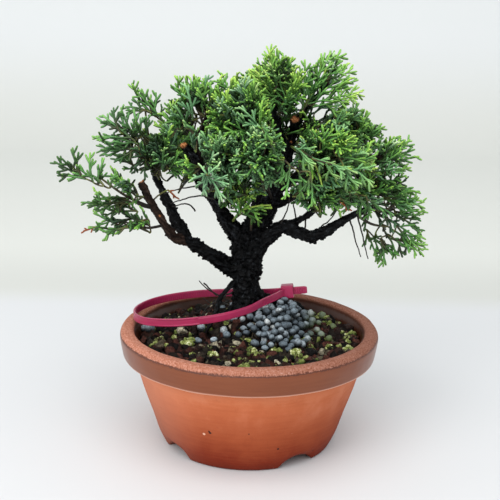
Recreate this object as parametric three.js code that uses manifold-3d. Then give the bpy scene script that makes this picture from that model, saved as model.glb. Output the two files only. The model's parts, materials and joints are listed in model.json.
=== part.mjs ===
// A juniper bonsai in a round terracotta training pot, at its real size in millimetres.
// +Z is up, the front of the tree faces -Y, and the origin is on the pot's axis at its feet.
// The pot stands on four feet between four drainage notches. A plastic screen, held by a wire
// staple, covers the drain hole. The tree's roots sit in a mounded soil, slow-release
// fertiliser and tufts of moss lie on top, and a nylon cable tie hangs loosely round the trunk.
import * as THREE from "three";
import { mergeVertices } from "three/addons/utils/BufferGeometryUtils.js";
import Module from "manifold-3d";

const wasm = await Module();
wasm.setup();

// ---- Driving dimensions ----

const GAP = 0.35; // between pieces that touch

// Pot
const RIM_RADIUS = 75;
const RIM_TOP = 68.8;
const COLLAR_BOTTOM = 53;
const FOOT_RADIUS = 48.9;
const RECESS_RADIUS = 40;
const RECESS_DEPTH = 7;
const FLOOR_TOP = 13;
const DRAIN_RADIUS = 11;
const POT_SIDES = 48;
const NOTCH_ANGLES = [-55, 35, 125, 215]; // degrees from the front, towards the right
const NOTCH_WIDTH = 24;
const NOTCH_HEIGHT = 5.8;

// Drain screen and its staple
const SCREEN_BARS = 6; // each way
const SCREEN_BAR = 1.7;
const SCREEN_PITCH = 6;
const SCREEN_SIDE = (SCREEN_BARS - 1) * SCREEN_PITCH + SCREEN_BAR;
const SCREEN_THICKNESS = 1;
const WIRE_RADIUS = 0.6;
const STAPLE_HALF = 6;
const STAPLE_LEG = 16; // how far each leg is bent out under the pot's floor

// Soil
const TRUNK_X = -1.6;
const TRUNK_Y = 18;
const SOIL_EDGE = 60.5; // height of the soil at the pot's wall
const MOUND_HEIGHT = 11.5;
const MOUND_SPREAD = 25;
const SOIL_SIDES = 36;

// Fertiliser heap
const HEAP_CENTRE = [25, 12];
const HEAP_RADII = [29, 29];
const HEAP_THICKNESS = 3;

// Cable tie
const TIE_WIDTH = 4.6;
const TIE_THICKNESS = 1.2;
const TIE_STEPS = 72;
const HEAD_SIZE = [7.4, 5.6, 8]; // along the tail, through the head, up
const HEAD_SLOT = [2, 5.4]; // the window that the tail goes through

const THICK_LIMB = 3; // limbs thinner than this radius get five sides instead of eight
const TWIG_SAG = 2; // how far a twig hangs below the straight line to its pad
const WIDE_PAD = 20.5; // pads wider than this are divided more finely

// ---- Materials ----

/** A plain finish with a colour, roughness and metalness. */
function finish(color, roughness, metalness = 0) {
  return new THREE.MeshStandardMaterial({ color, roughness, metalness });
}

const FINISHES = {
  terracotta: finish("#b5603c", 0.75),
  screen: finish("#20241f", 0.6),
  wire: finish("#8f8f8c", 0.4, 0.9),
  soil: finish("#3a2a22", 0.95),
  bark: finish("#231c1a", 0.9),
  leaf: finish("#3f7a35", 0.65),
  moss: finish("#8fa63c", 0.9),
  fertiliser: finish("#8d9aa0", 0.85),
  nylon: finish("#b3245a", 0.35),
};

// ---- Solids ----

/** A closed BufferGeometry as a manifold-3d solid whose faces point out. */
function solidOf(geometry) {
  const bare = new THREE.BufferGeometry();
  const loose = geometry.index ? geometry.toNonIndexed() : geometry;
  bare.setAttribute("position", loose.getAttribute("position"));
  const merged = mergeVertices(bare, 1e-4);
  const build = (triVerts) =>
    new wasm.Manifold(
      new wasm.Mesh({ numProp: 3, vertProperties: merged.attributes.position.array, triVerts }),
    );
  const triVerts = Uint32Array.from(merged.index.array);
  const made = build(triVerts);
  return made.volume() > 0 ? made : build(triVerts.toReversed());
}

/** A manifold-3d solid as a flat-shaded BufferGeometry. */
function geometryOf(solid) {
  const mesh = solid.getMesh();
  const geometry = new THREE.BufferGeometry();
  geometry.setAttribute("position", new THREE.BufferAttribute(mesh.vertProperties, 3));
  geometry.setIndex(new THREE.BufferAttribute(mesh.triVerts, 1));
  const flat = geometry.toNonIndexed();
  flat.computeVertexNormals();
  return flat;
}

/** A named piece of the object: the solid's largest body, so that cuts leave no crumbs. */
function piece(name, solid, material) {
  const bodies = solid.decompose();
  const largest = bodies.reduce((a, b) => (b.volume() > a.volume() ? b : a));
  const mesh = new THREE.Mesh(geometryOf(largest), material);
  mesh.name = name;
  return mesh;
}

/** A solid of revolution about +Z, from [radius, height] pairs. */
function turned(profile, sides) {
  const points = profile.map(([r, z]) => new THREE.Vector2(r, z));
  return solidOf(new THREE.LatheGeometry(points, sides).rotateX(Math.PI / 2));
}

/** A rod of round section along a list of points, with bends rounded by a spline. */
function rod(points, radius, steps, tension = 0.2) {
  const path = new THREE.CatmullRomCurve3(points, false, "catmullrom", tension);
  const section = new THREE.Shape().absarc(0, 0, radius, 0, 2 * Math.PI);
  const options = { extrudePath: path, steps, curveSegments: 4, bevelEnabled: false };
  return solidOf(new THREE.ExtrudeGeometry(section, options));
}

/**
 * A limb that tapers along its stations, each [x, y, z, radius], with a pointed cap at each end.
 * The limb grows by clearance all over when it is used to cut a neighbour.
 */
function limb(stations, clearance = 0) {
  const points = stations.map(([x, y, z]) => new THREE.Vector3(x, y, z));
  const curve = new THREE.CatmullRomCurve3(points, false, "centripetal");
  const rings = stations.length - 1;
  const sides = stations[0][3] > THICK_LIMB ? 8 : 5;
  const vertices = [];
  const faces = [];
  let normal = null;
  for (let i = 0; i <= rings; i++) {
    const radius = stations[i][3] + clearance;
    const centre = points[i];
    const tangent = curve.getTangent(i / rings);
    normal ??= new THREE.Vector3(tangent.y, -tangent.x, 0.3);
    normal.addScaledVector(tangent, -normal.dot(tangent)).normalize();
    const side = tangent.clone().cross(normal);
    if (i === 0) vertices.push(centre.clone().addScaledVector(tangent, -0.5 * radius));
    for (let k = 0; k < sides; k++) {
      const turn = (2 * Math.PI * k) / sides;
      vertices.push(
        centre
          .clone()
          .addScaledVector(normal, radius * Math.cos(turn))
          .addScaledVector(side, radius * Math.sin(turn)),
      );
    }
    if (i === rings) vertices.push(centre.clone().addScaledVector(tangent, 0.5 * radius));
  }
  const last = vertices.length - 1;
  for (let k = 0; k < sides; k++) {
    const next = (k + 1) % sides;
    faces.push([0, 1 + next, 1 + k]);
    for (let i = 0; i < rings; i++) {
      const low = 1 + i * sides;
      const high = low + sides;
      faces.push([low + k, low + next, high + next], [low + k, high + next, high + k]);
    }
    const top = 1 + rings * sides;
    faces.push([last, top + k, top + next]);
  }
  const geometry = new THREE.BufferGeometry().setFromPoints(vertices);
  geometry.setIndex(faces.flat());
  return solidOf(geometry);
}

/** Several solids as one. */
function joined(solids) {
  return solids.reduce((a, b) => a.add(b));
}

/** The height of the soil's surface at a place in the pot. */
function soilHeight(x, y) {
  const away = Math.hypot(x - TRUNK_X, y - TRUNK_Y) / MOUND_SPREAD;
  const ripple = 0.5 * Math.sin(x / 7) * Math.cos(y / 6);
  return SOIL_EDGE + MOUND_HEIGHT * Math.exp(-away * away) + ripple;
}

// ---- Pot ----

/** The terracotta bowl: tapered wall, collar with a rounded lip, four feet and a drain hole. */
function potSolid() {
  const profile = [
    [DRAIN_RADIUS, RECESS_DEPTH],
    [RECESS_RADIUS, RECESS_DEPTH],
    [RECESS_RADIUS + 1, 0],
    [FOOT_RADIUS - 1.6, 0],
    [FOOT_RADIUS, 1],
    [51, 4],
    [53.2, 9],
    [57.3, 22],
    [61.7, 34],
    [67, COLLAR_BOTTOM - 0.8],
    [67.4, COLLAR_BOTTOM],
    [72.8, COLLAR_BOTTOM + 0.2],
    [73.5, COLLAR_BOTTOM + 1],
    [RIM_RADIUS, RIM_TOP - 4.4],
    [RIM_RADIUS - 0.3, RIM_TOP - 2.2],
    [RIM_RADIUS - 2.4, RIM_TOP - 0.6],
    [RIM_RADIUS - 5, RIM_TOP],
    [RIM_RADIUS - 7.2, RIM_TOP - 0.7],
    [RIM_RADIUS - 8.4, RIM_TOP - 2.6],
    [64, SOIL_EDGE],
    [60.5, COLLAR_BOTTOM - 5],
    [51.6, 24],
    [48, FLOOR_TOP + 3],
    [44.5, FLOOR_TOP],
    [DRAIN_RADIUS, FLOOR_TOP],
    [DRAIN_RADIUS, RECESS_DEPTH],
  ];
  const half = NOTCH_WIDTH / 2;
  const arch = (half * half + NOTCH_HEIGHT * NOTCH_HEIGHT) / (2 * NOTCH_HEIGHT);
  const cutters = NOTCH_ANGLES.map((angle) => {
    const cutter = new THREE.CylinderGeometry(arch, arch, 24, 36);
    cutter.translate(0, -(FOOT_RADIUS - 2), 0);
    cutter.rotateZ(THREE.MathUtils.degToRad(angle));
    cutter.translate(0, 0, NOTCH_HEIGHT - arch);
    return solidOf(cutter);
  });
  return turned(profile, POT_SIDES).subtract(joined(cutters));
}

/** The square plastic mesh that keeps the soil off the drain hole: bars crossing bars. */
function screenSolid() {
  const middle = FLOOR_TOP + GAP + SCREEN_THICKNESS / 2;
  const bars = [];
  for (let i = 0; i < SCREEN_BARS; i++) {
    const at = (i - (SCREEN_BARS - 1) / 2) * SCREEN_PITCH;
    const bar = () => new THREE.BoxGeometry(SCREEN_SIDE, SCREEN_BAR, SCREEN_THICKNESS);
    bars.push(solidOf(bar().translate(0, at, middle)));
    bars.push(solidOf(bar().rotateZ(Math.PI / 2).translate(at, 0, middle)));
  }
  return joined(bars);
}

/** The wire staple over the screen, down through the drain hole and out along the floor. */
function stapleSolid() {
  const over = FLOOR_TOP + GAP + SCREEN_THICKNESS + GAP + WIRE_RADIUS;
  const under = RECESS_DEPTH - GAP - WIRE_RADIUS;
  const out = STAPLE_HALF + STAPLE_LEG;
  const half = [
    [0, over],
    [STAPLE_HALF - 1, over],
    [STAPLE_HALF, over - 1],
    [STAPLE_HALF, under + 1],
    [STAPLE_HALF + 1, under],
    [out, under],
  ];
  const points = [
    ...half.toReversed().map(([x, z]) => new THREE.Vector3(-x, 0, z)),
    ...half.slice(1).map(([x, z]) => new THREE.Vector3(x, 0, z)),
  ];
  return rod(points, WIRE_RADIUS, 26);
}

// ---- Wood: stations are [x, y, z, radius] along each limb ----

const LIMBS = {
  trunk: [
    [-1.6, 18, 52, 8],
    [-1.6, 18, 66, 10.5],
    [-1.7, 18, 74, 9.8],
    [-2, 18, 80, 8.2],
    [-2.4, 18, 88, 7.6],
    [-2.6, 18, 97, 8.2],
    [-2.1, 18, 106, 8.8],
    [-2.9, 18, 113.5, 9],
    [-4.4, 18, 120, 7.6],
  ],
  left_limb: [
    [-3.4, 18, 94, 6],
    [-13.2, 15, 100.2, 4.9],
    [-23.7, 10, 108.6, 4],
    [-32.3, 7, 114.6, 3.7],
    [-37.4, 5, 118, 3.3],
  ],
  left_outer_fork: [
    [-36.3, 6, 116.6, 2.8],
    [-44.1, 2, 120.4, 2.6],
    [-49.6, -1, 128.6, 2.4],
    [-55, -3, 138.3, 2.2],
    [-58.7, -5, 146.1, 2.1],
    [-61.9, -6, 153.6, 1.9],
  ],
  left_inner_fork: [
    [-36.3, 6, 117.8, 3.4],
    [-42.8, 8, 127.9, 3.3],
    [-47.7, 11, 137.2, 2.8],
    [-52.4, 13, 145.5, 2.3],
    [-55.5, 15, 153.3, 2],
    [-58, 15, 166, 1.5],
  ],
  centre_left_leader: [
    [-6.4, 18, 116.6, 5.5],
    [-13.6, 16, 126.6, 4.6],
    [-20, 13, 137.8, 3.5],
    [-24.1, 11, 147.6, 3],
    [-28.6, 9, 158.3, 2.6],
    [-33.1, 7, 166.1, 2.4],
    [-37.6, 5, 171.5, 2.1],
  ],
  leader: [
    [-1.7, 18, 114, 7.5],
    [4, 19, 126.2, 6.2],
    [10.8, 21, 136.7, 5],
    [15.3, 23, 146.6, 4.3],
    [18, 25, 157.5, 3.7],
    [20.2, 26, 166.9, 3.3],
    [22.3, 27, 175, 3],
    [24.4, 28, 183.1, 2.7],
  ],
  right_limb: [
    [1, 17, 105, 5],
    [7.6, 13, 116.4, 4.3],
    [17.9, 10, 125.8, 4],
    [26.5, 7, 123.5, 3.8],
    [34.5, 5, 121.7, 3.5],
    [42.9, 3, 125.3, 3],
    [51.2, 4, 130.4, 2.4],
    [60, 8, 134.5, 2],
    [70, 14, 137, 1.5],
  ],
  right_fork: [
    [20.1, 9, 126.4, 2.2],
    [28, 6, 130.8, 2],
    [34.5, 3, 136.3, 1.7],
    [41.6, 0, 142, 1.3],
  ],
  leader_side_branch: [
    [10.8, 20, 135.7, 3.2],
    [20, 16, 140.3, 2.7],
    [28.9, 10, 146, 2.2],
    [38, 2, 153, 1.6],
    [44, -5, 162, 1.3],
  ],
  back_left_branch: [
    [-7, 20, 118, 3.6],
    [-20, 32, 132, 3],
    [-33, 42, 147, 2.4],
    [-44, 48, 160, 1.7],
  ],
  back_branch: [
    [3, 22, 126, 3.8],
    [4, 38, 141, 3],
    [0, 50, 158, 2.3],
    [-4, 56, 172, 1.6],
  ],
  back_right_branch: [
    [14, 23, 144, 3],
    [28, 36, 151, 2.6],
    [42, 46, 158, 2.1],
    [52, 50, 167, 1.5],
  ],
  top_left_branch: [
    [-31, 8, 162, 2],
    [-31, 10, 173, 1.9],
    [-28, 12, 184, 1.5],
    [-24, 13, 193, 1.2],
  ],
  crown_branch: [
    [20, 26, 166, 2.4],
    [15, 24, 180, 2],
    [11, 20, 195, 1.6],
    [9, 17, 207, 1.2],
  ],
  crown_right_branch: [
    [23.5, 27.5, 180, 2.2],
    [29, 27, 189, 1.9],
    [36, 25, 199, 1.5],
    [42, 23, 207, 1.1],
  ],
  right_high_branch: [
    [30, 37, 152, 2],
    [46, 30, 158, 1.8],
    [62, 22, 163, 1.5],
    [74, 16, 167, 1.2],
  ],
  right_surface_root: [
    [4, 17, 84, 3.1],
    [10, 17.5, 80.5, 2.6],
    [17, 20, 77, 2.1],
    [23.5, 23.8, 75.3, 1.9],
    [31, 26, 72.5, 1.6],
    [37, 27, 64, 1.2],
    [40, 27, 56, 0.9],
  ],
  aerial_root: [
    [-8, 14, 91, 2],
    [-13, 9, 88, 1.5],
    [-17.5, 6, 83, 1.3],
    [-19, 3.5, 76, 1.3],
    [-23, 0, 69, 1.3],
    [-27, -3, 60, 1.2],
  ],
};

// Surface roots run out from the trunk at these compass angles and dive into the soil.
const ROOTS = [
  { angle: 200, reach: 34, radius: 4.4 },
  { angle: 250, reach: 27, radius: 3.6 },
  { angle: 310, reach: 30, radius: 4 },
  { angle: 5, reach: 32, radius: 4.2 },
  { angle: 65, reach: 26, radius: 3.8 },
  { angle: 130, reach: 30, radius: 4 },
];

/** The stations of one surface root: out over the mound, then down into the soil. */
function rootStations({ angle, reach, radius }) {
  const turn = THREE.MathUtils.degToRad(angle);
  const at = (share, z, r) => [
    TRUNK_X + Math.cos(turn) * reach * share,
    TRUNK_Y + Math.sin(turn) * reach * share,
    z,
    r,
  ];
  return [
    at(0.1, 76, radius),
    at(0.36, 70.5, radius * 0.85),
    at(0.62, 65, radius * 0.65),
    at(0.85, 54, radius * 0.45),
    at(1, 42, radius * 0.3),
  ];
}

/** The stations of the twig that carries a foliage pad, from its limb to inside the pad. */
function twigStations([centre, , from]) {
  const between = (share, sag) =>
    from.map((start, k) => THREE.MathUtils.lerp(start, centre[k], share) - (k === 2 ? sag : 0));
  return [
    [...from, 1.6],
    [...between(0.4, TWIG_SAG), 1.3],
    [...between(0.8, 0), 0.9],
  ];
}

/** The whole woody frame, roots included, or the same frame grown by a clearance. */
function woodSolid(clearance = 0) {
  const stations = [
    ...Object.values(LIMBS),
    ...ROOTS.map(rootStations),
    ...Object.values(PADS).map(twigStations),
  ];
  return joined(stations.map((path) => limb(path, clearance)));
}

// ---- Soil and what lies on it ----

/** The soil: it fills the bowl, and its mounded top follows soilHeight. */
function soilSolid() {
  const wall = [
    [0, FLOOR_TOP + GAP],
    [44.2, FLOOR_TOP + GAP],
    [47.6, FLOOR_TOP + 3.2],
    [51.2, 24.1],
    [60.1, COLLAR_BOTTOM - 5],
    [63.4, SOIL_EDGE],
  ];
  const rings = [53, 42, 31, 20, 10, 0].map((r) => [r, SOIL_EDGE]);
  const points = [...wall, ...rings].map(([r, z]) => new THREE.Vector2(r, z));
  const geometry = new THREE.LatheGeometry(points, SOIL_SIDES).rotateX(Math.PI / 2);
  const position = geometry.getAttribute("position");
  for (let i = 0; i < position.count; i++) {
    if (position.getZ(i) < SOIL_EDGE - 0.01) continue;
    const x = position.getX(i);
    const y = position.getY(i);
    const edge = THREE.MathUtils.smoothstep(Math.hypot(x, y), 53, 63.4);
    position.setZ(i, THREE.MathUtils.lerp(soilHeight(x, y), SOIL_EDGE, edge));
  }
  const side = SCREEN_SIDE + 2;
  const pocket = solidOf(new THREE.BoxGeometry(side, side, 7).translate(0, 0, FLOOR_TOP));
  return solidOf(geometry).subtract(pocket).subtract(woodSolid(GAP));
}

/** A loose layer on the soil: an oval patch with a bumpy top and a base that follows the soil. */
function heapSolid() {
  const rings = 5;
  const sides = 24;
  const point = (ring, k, lift) => {
    const share = ring / rings;
    const turn = (2 * Math.PI * k) / sides;
    const wavy = 1 + 0.09 * Math.sin(3 * turn) + 0.06 * Math.cos(5 * turn);
    const x = HEAP_CENTRE[0] + HEAP_RADII[0] * share * wavy * Math.cos(turn);
    const y = HEAP_CENTRE[1] + HEAP_RADII[1] * share * wavy * Math.sin(turn);
    const bumps = 1 + 0.25 * Math.sin(x * 1.1) * Math.sin(y * 0.9);
    const crown = HEAP_THICKNESS * (1 - share ** 3) * bumps;
    return new THREE.Vector3(x, y, soilHeight(x, y) + 2 * GAP + (lift ? crown : 0));
  };
  const vertices = [point(0, 0, false), point(0, 0, true)];
  const index = (ring, k, lift) => 2 + ((ring - 1) * sides + (k % sides)) * 2 + (lift ? 1 : 0);
  for (let ring = 1; ring <= rings; ring++) {
    for (let k = 0; k < sides; k++) vertices.push(point(ring, k, false), point(ring, k, true));
  }
  const faces = [];
  for (let k = 0; k < sides; k++) {
    faces.push([1, index(1, k, true), index(1, k + 1, true)]);
    faces.push([0, index(1, k + 1, false), index(1, k, false)]);
    for (let ring = 1; ring < rings; ring++) {
      for (const lift of [true, false]) {
        const a = index(ring, k, lift);
        const b = index(ring, k + 1, lift);
        const c = index(ring + 1, k + 1, lift);
        const d = index(ring + 1, k, lift);
        faces.push(...(lift ? [[a, d, c], [a, c, b]] : [[a, c, d], [a, b, c]]));
      }
    }
  }
  const geometry = new THREE.BufferGeometry().setFromPoints(vertices);
  geometry.setIndex(faces.flat());
  return solidOf(geometry).subtract(woodSolid(GAP));
}

// Tufts of moss and algae-grown crumbs on the soil: [x, y, radius].
const MOSS_TUFTS = [
  [-35, -18, 4.8],
  [-20, -35, 3.6],
  [2, -33, 4.6],
  [14, -28, 3.4],
  [26, -32, 4.2],
  [46, -19, 3.4],
];

/** One tuft: a flattened ball that stands on the soil. */
function tuftSolid([x, y, radius]) {
  const half = radius / 2;
  const ball = new THREE.IcosahedronGeometry(radius, 1).scale(1, 1, half / radius);
  return solidOf(ball.translate(x, y, soilHeight(x, y) + 2 * GAP + half));
}

// ---- Foliage pads: centre, half sizes, and where the pad's twig leaves its limb ----

const PADS = {
  foliage_left_tip: [[-89, -38, 167], [16.5, 14, 9], [-55, -3, 138]],
  foliage_left_shelf: [[-73, 0, 180], [18, 19, 15], [-56, 15, 156]],
  foliage_left_crown: [[-62, 12, 199], [15, 16, 11], [-58, 15, 165]],
  foliage_left_low: [[-73, -14, 150], [20, 18, 12], [-55, -3, 138]],
  foliage_left_under: [[-71, -20, 133], [19, 14, 8], [-49, -1, 128]],
  foliage_left_inner: [[-50, 12, 172], [17, 21, 15], [-55, 15, 153]],
  foliage_upper_left: [[-32, 14, 198], [18, 21, 17], [-28, 12, 184]],
  foliage_crown_front: [[-9, -6, 194], [19, 21, 19], [15, 24, 180]],
  foliage_centre_front: [[-22, -20, 169], [20, 19, 16], [-28, 9, 158]],
  foliage_trunk_front: [[4, -24, 174], [15, 17, 18], [12, 20, 139]],
  foliage_centre_low: [[-7, -8, 150], [18, 16, 12], [4, 17, 127]],
  foliage_crown_top: [[12, 16, 214], [16, 19, 16], [11, 20, 195]],
  foliage_crown_right: [[44, 22, 211], [20, 19, 16], [36, 25, 199]],
  foliage_right_upper: [[38, 28, 188], [22, 22, 15], [24, 28, 180]],
  foliage_right_front: [[46, -8, 171], [24, 21, 17], [38, 2, 153]],
  foliage_right_back: [[60, 40, 181], [20, 19, 15], [46, 30, 158]],
  foliage_right_tip: [[78, 22, 167], [17, 18, 14], [62, 22, 163]],
  foliage_right_low: [[77.8, 26, 144], [24, 21, 13], [60, 8, 134]],
  foliage_right_droop: [[86, 24, 122], [17.5, 15, 13], [60, 8, 134]],
  foliage_right_inner: [[42, -2, 149], [21, 18, 10], [34, 3, 136]],
  foliage_back_left: [[-46, 48, 168], [22, 19, 16], [-33, 42, 147]],
  foliage_back: [[-5, 54, 178], [25, 18, 19], [0, 50, 158]],
  foliage_back_right: [[46, 54, 163], [22, 18, 13], [28, 36, 151]],
  foliage_back_crown: [[8, 44, 205], [22, 17, 15], [15, 24, 180]],
  foliage_trunk_sprig: [[0, 3, 136], [14, 7, 5], [0, 15, 120]],
};

/** One pad: a lumpy ball, before its neighbours and the wood are cut from it. */
function padSolid([centre, half], clearance = 0) {
  const ball = new THREE.IcosahedronGeometry(1, half[0] > WIDE_PAD ? 2 : 1);
  const position = ball.getAttribute("position");
  const point = new THREE.Vector3();
  for (let i = 0; i < position.count; i++) {
    point.fromBufferAttribute(position, i);
    const lump = Math.sin(4 * point.x + centre[0]) * Math.sin(4 * point.y) * Math.cos(3 * point.z);
    point.multiplyScalar(0.95 + 0.05 * lump);
    position.setXYZ(
      i,
      centre[0] + point.x * (half[0] + clearance),
      centre[1] + point.y * (half[1] + clearance),
      centre[2] + point.z * (half[2] + clearance),
    );
  }
  return solidOf(ball);
}

/** Every pad, each cut clear of the wood and of the pads before it. */
function foliagePieces() {
  const wood = woodSolid(GAP);
  const made = [];
  const taken = [];
  for (const [name, pad] of Object.entries(PADS)) {
    const cut = taken.reduce((solid, other) => solid.subtract(other), padSolid(pad).subtract(wood));
    taken.push(padSolid(pad, 2 * GAP));
    made.push(piece(name, cut, FINISHES.leaf));
  }
  return made;
}

// ---- Cable tie ----

// The strap's centreline, from its root on the head, round the trunk and out past the head.
const TIE_HEAD = [22.6, 24, 82.8];
const TIE_TURN = Math.atan2(-1.2, 12); // the tail's direction, seen from above
const TIE_TILT = Math.atan(0.125); // the loop rises towards the head
const TIE_PATH = [
  [20.6, 21.9, 82.5],
  [14.9, 14.2, 81.8],
  [7.2, 5.2, 80.8],
  [0.2, -4.1, 79.9],
  [-8.3, -10.7, 78.9],
  [-16.8, -14.4, 77.8],
  [-25.3, -16, 76.7],
  [-33.8, -16.4, 75.7],
  [-42.4, -15.4, 74.6],
  [-51.1, -12.4, 73.5],
  [-60.3, -7, 72.4],
  [-65.9, 1, 71.7],
  [-68.2, 9.5, 71.4],
  [-67, 19.2, 71.5],
  [-60.9, 28.6, 72.3],
  [-52.2, 34.3, 73.4],
  [-43.1, 36.9, 74.5],
  [-33.9, 37.5, 75.7],
  [-24.6, 36.7, 76.8],
  [-15.3, 34.3, 78],
  [-4, 30, 79.4],
  [7.3, 26.4, 80.8],
  [15.1, 24.7, 81.8],
  [22.6, 24, 82.8],
  [34.3, 22.8, 84.2],
];

/** The nylon tie: one moulding of strap and head, its tail through the head's window. */
function tieSolid() {
  const path = new THREE.CatmullRomCurve3(
    TIE_PATH.map((at) => new THREE.Vector3(...at)),
    false,
    "centripetal",
  );
  const up = TIE_WIDTH / 2;
  const out = TIE_THICKNESS / 2;
  const section = new THREE.Shape([
    new THREE.Vector2(-up, -out),
    new THREE.Vector2(up, -out),
    new THREE.Vector2(up, out),
    new THREE.Vector2(-up, out),
  ]);
  const options = { extrudePath: path, steps: TIE_STEPS, bevelEnabled: false };
  const strap = solidOf(new THREE.ExtrudeGeometry(section, options));
  const place = (box) => box.rotateY(-TIE_TILT).rotateZ(TIE_TURN).translate(...TIE_HEAD);
  const block = solidOf(place(new THREE.BoxGeometry(...HEAD_SIZE)));
  const slot = solidOf(place(new THREE.BoxGeometry(HEAD_SIZE[0] + 2, ...HEAD_SLOT)));
  return strap.add(block.subtract(slot));
}

// ---- Assembly ----

const tree = new THREE.Group();
tree.add(
  piece("pot", potSolid(), FINISHES.terracotta),
  piece("drain_screen", screenSolid(), FINISHES.screen),
  piece("screen_staple", stapleSolid(), FINISHES.wire),
  piece("soil", soilSolid(), FINISHES.soil),
  piece("trunk_and_limbs", woodSolid(), FINISHES.bark),
  piece("fertiliser_heap", heapSolid(), FINISHES.fertiliser),
  piece("cable_tie", tieSolid(), FINISHES.nylon),
  ...MOSS_TUFTS.map((tuft, i) => piece(`moss_tuft_${i + 1}`, tuftSolid(tuft), FINISHES.moss)),
  ...foliagePieces(),
);

export default tree;
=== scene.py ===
"""The looks of a juniper bonsai in a round terracotta training pot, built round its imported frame.

Sizes are millimetres, and each finished piece is turned to metres once, by finished().
+Z is up and the front of the tree faces -Y. The tree's limbs, pads, roots and cable tie repeat
the numbers that the frame was built from, so that every piece lies where its solid does.
"""
import json
import logging
import math
from collections.abc import Callable, Mapping, Sequence
from dataclasses import dataclass, field
from enum import Enum
from functools import partial, reduce
from typing import Any

import bmesh
import bpy
import numpy as np
from mathutils import Euler, Matrix, Quaternion, Vector, kdtree, noise

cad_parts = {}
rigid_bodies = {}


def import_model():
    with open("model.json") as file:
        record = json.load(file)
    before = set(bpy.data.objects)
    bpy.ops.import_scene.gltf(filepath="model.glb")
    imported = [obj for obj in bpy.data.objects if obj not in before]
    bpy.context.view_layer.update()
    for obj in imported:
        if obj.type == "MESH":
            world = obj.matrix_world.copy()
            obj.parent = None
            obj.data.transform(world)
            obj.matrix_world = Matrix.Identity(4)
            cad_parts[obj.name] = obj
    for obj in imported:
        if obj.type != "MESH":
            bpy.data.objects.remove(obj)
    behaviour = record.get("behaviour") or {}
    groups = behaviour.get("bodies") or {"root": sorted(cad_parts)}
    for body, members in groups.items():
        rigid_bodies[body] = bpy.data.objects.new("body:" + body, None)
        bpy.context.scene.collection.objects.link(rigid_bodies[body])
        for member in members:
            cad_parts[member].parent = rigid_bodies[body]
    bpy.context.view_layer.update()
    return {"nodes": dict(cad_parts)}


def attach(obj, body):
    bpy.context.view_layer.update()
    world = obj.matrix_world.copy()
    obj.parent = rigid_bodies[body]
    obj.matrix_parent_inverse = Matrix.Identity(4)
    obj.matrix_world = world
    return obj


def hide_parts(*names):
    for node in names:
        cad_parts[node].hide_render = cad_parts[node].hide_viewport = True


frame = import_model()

LOG = logging.getLogger("bonsai")
MM = 0.001  # metres in a millimetre
ROOT = "root"

Socket = bpy.types.NodeSocket
Tree = bpy.types.NodeTree
Object = bpy.types.Object
Mesh = bpy.types.Mesh
Rng = np.random.Generator
Adder = Callable[..., Socket]
Triple = tuple[float, float, float]
Triples = tuple[Triple, ...]
Pairs = tuple[tuple[float, float], ...]
Rows = tuple[tuple[float, ...], ...]
Stops = tuple[tuple[float, str], ...]
Inputs = dict[str, Any]

# The kinds of node that are named here: each one's type and settings.
MATHS = (
    "ABSOLUTE ADD COSINE DIVIDE FLOOR FLOORED_MODULO FRACT LESS_THAN MAXIMUM MULTIPLY MULTIPLY_ADD "
    "SINE SQRT SUBTRACT WRAP"
)
KINDS: dict[str, tuple[str, dict[str, Any]]] = {
    **{step: ("ShaderNodeMath", {"operation": step}) for step in MATHS.split()},
    "EXCESS": ("ShaderNodeMath", {"operation": "SUBTRACT", "use_clamp": True}),
    "SCALE": ("ShaderNodeVectorMath", {"operation": "SCALE"}),
    "STRETCH": ("ShaderNodeVectorMath", {"operation": "MULTIPLY"}),
    "LENGTH": ("ShaderNodeVectorMath", {"operation": "LENGTH"}),
    "DISTANCE": ("ShaderNodeVectorMath", {"operation": "DISTANCE"}),
    "ABOVE": ("FunctionNodeCompare", {"operation": "GREATER_THAN"}),
    "BELOW": ("FunctionNodeCompare", {"operation": "LESS_THAN"}),
    "BOTH": ("FunctionNodeBooleanMath", {"operation": "AND"}), "RANGE": ("ShaderNodeMapRange", {}),
    "EASE": ("ShaderNodeMapRange", {"interpolation_type": "SMOOTHSTEP"}),
    "MIX": ("ShaderNodeMix", {"data_type": "RGBA"}), "RAMP": ("ShaderNodeValToRGB", {}),
    "NOISE": ("ShaderNodeTexNoise", {}), "SWELL": ("ShaderNodeTexNoise", {"normalize": False}),
    "CELLS": ("ShaderNodeTexVoronoi", {}), "BUMP": ("ShaderNodeBump", {}),
    "SPLIT": ("ShaderNodeSeparateXYZ", {}), "JOIN": ("ShaderNodeCombineXYZ", {}),
    "PLACE": ("ShaderNodeTexCoord", {}), "STORED": ("ShaderNodeAttribute", {}),
    "NUMBER": ("GeometryNodeInputNamedAttribute", {"data_type": "FLOAT"}),
    "COUNT": ("GeometryNodeInputNamedAttribute", {"data_type": "INT"}),
    "VECTOR": ("GeometryNodeInputNamedAttribute", {"data_type": "FLOAT_VECTOR"}),
    "STORE": ("GeometryNodeStoreNamedAttribute", {"data_type": "FLOAT", "domain": "POINT"}),
    "STORE_EACH": ("GeometryNodeStoreNamedAttribute", {"data_type": "FLOAT", "domain": "INSTANCE"}),
    "RANDOM": ("FunctionNodeRandomValue", {"data_type": "FLOAT"}),
    "RANDOM_COUNT": ("FunctionNodeRandomValue", {"data_type": "INT"}),
    "RANDOM_VECTOR": ("FunctionNodeRandomValue", {"data_type": "FLOAT_VECTOR"})
}


# ---- Nodes ----


def linear(colour: str) -> tuple[float, float, float, float]:
    """Turn an sRGB hex colour into the linear values that a shader takes.

    Args:
        colour: The colour as "#rrggbb".

    Returns:
        Linear red, green and blue, and an alpha of 1.
    """
    shares = [int(colour[i : i + 2], 16) / 255 for i in (1, 3, 5)]
    red, green, blue = [s / 12.92 if s <= 0.04045 else ((s + 0.055) / 1.055) ** 2.4 for s in shares]
    return red, green, blue, 1


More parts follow.
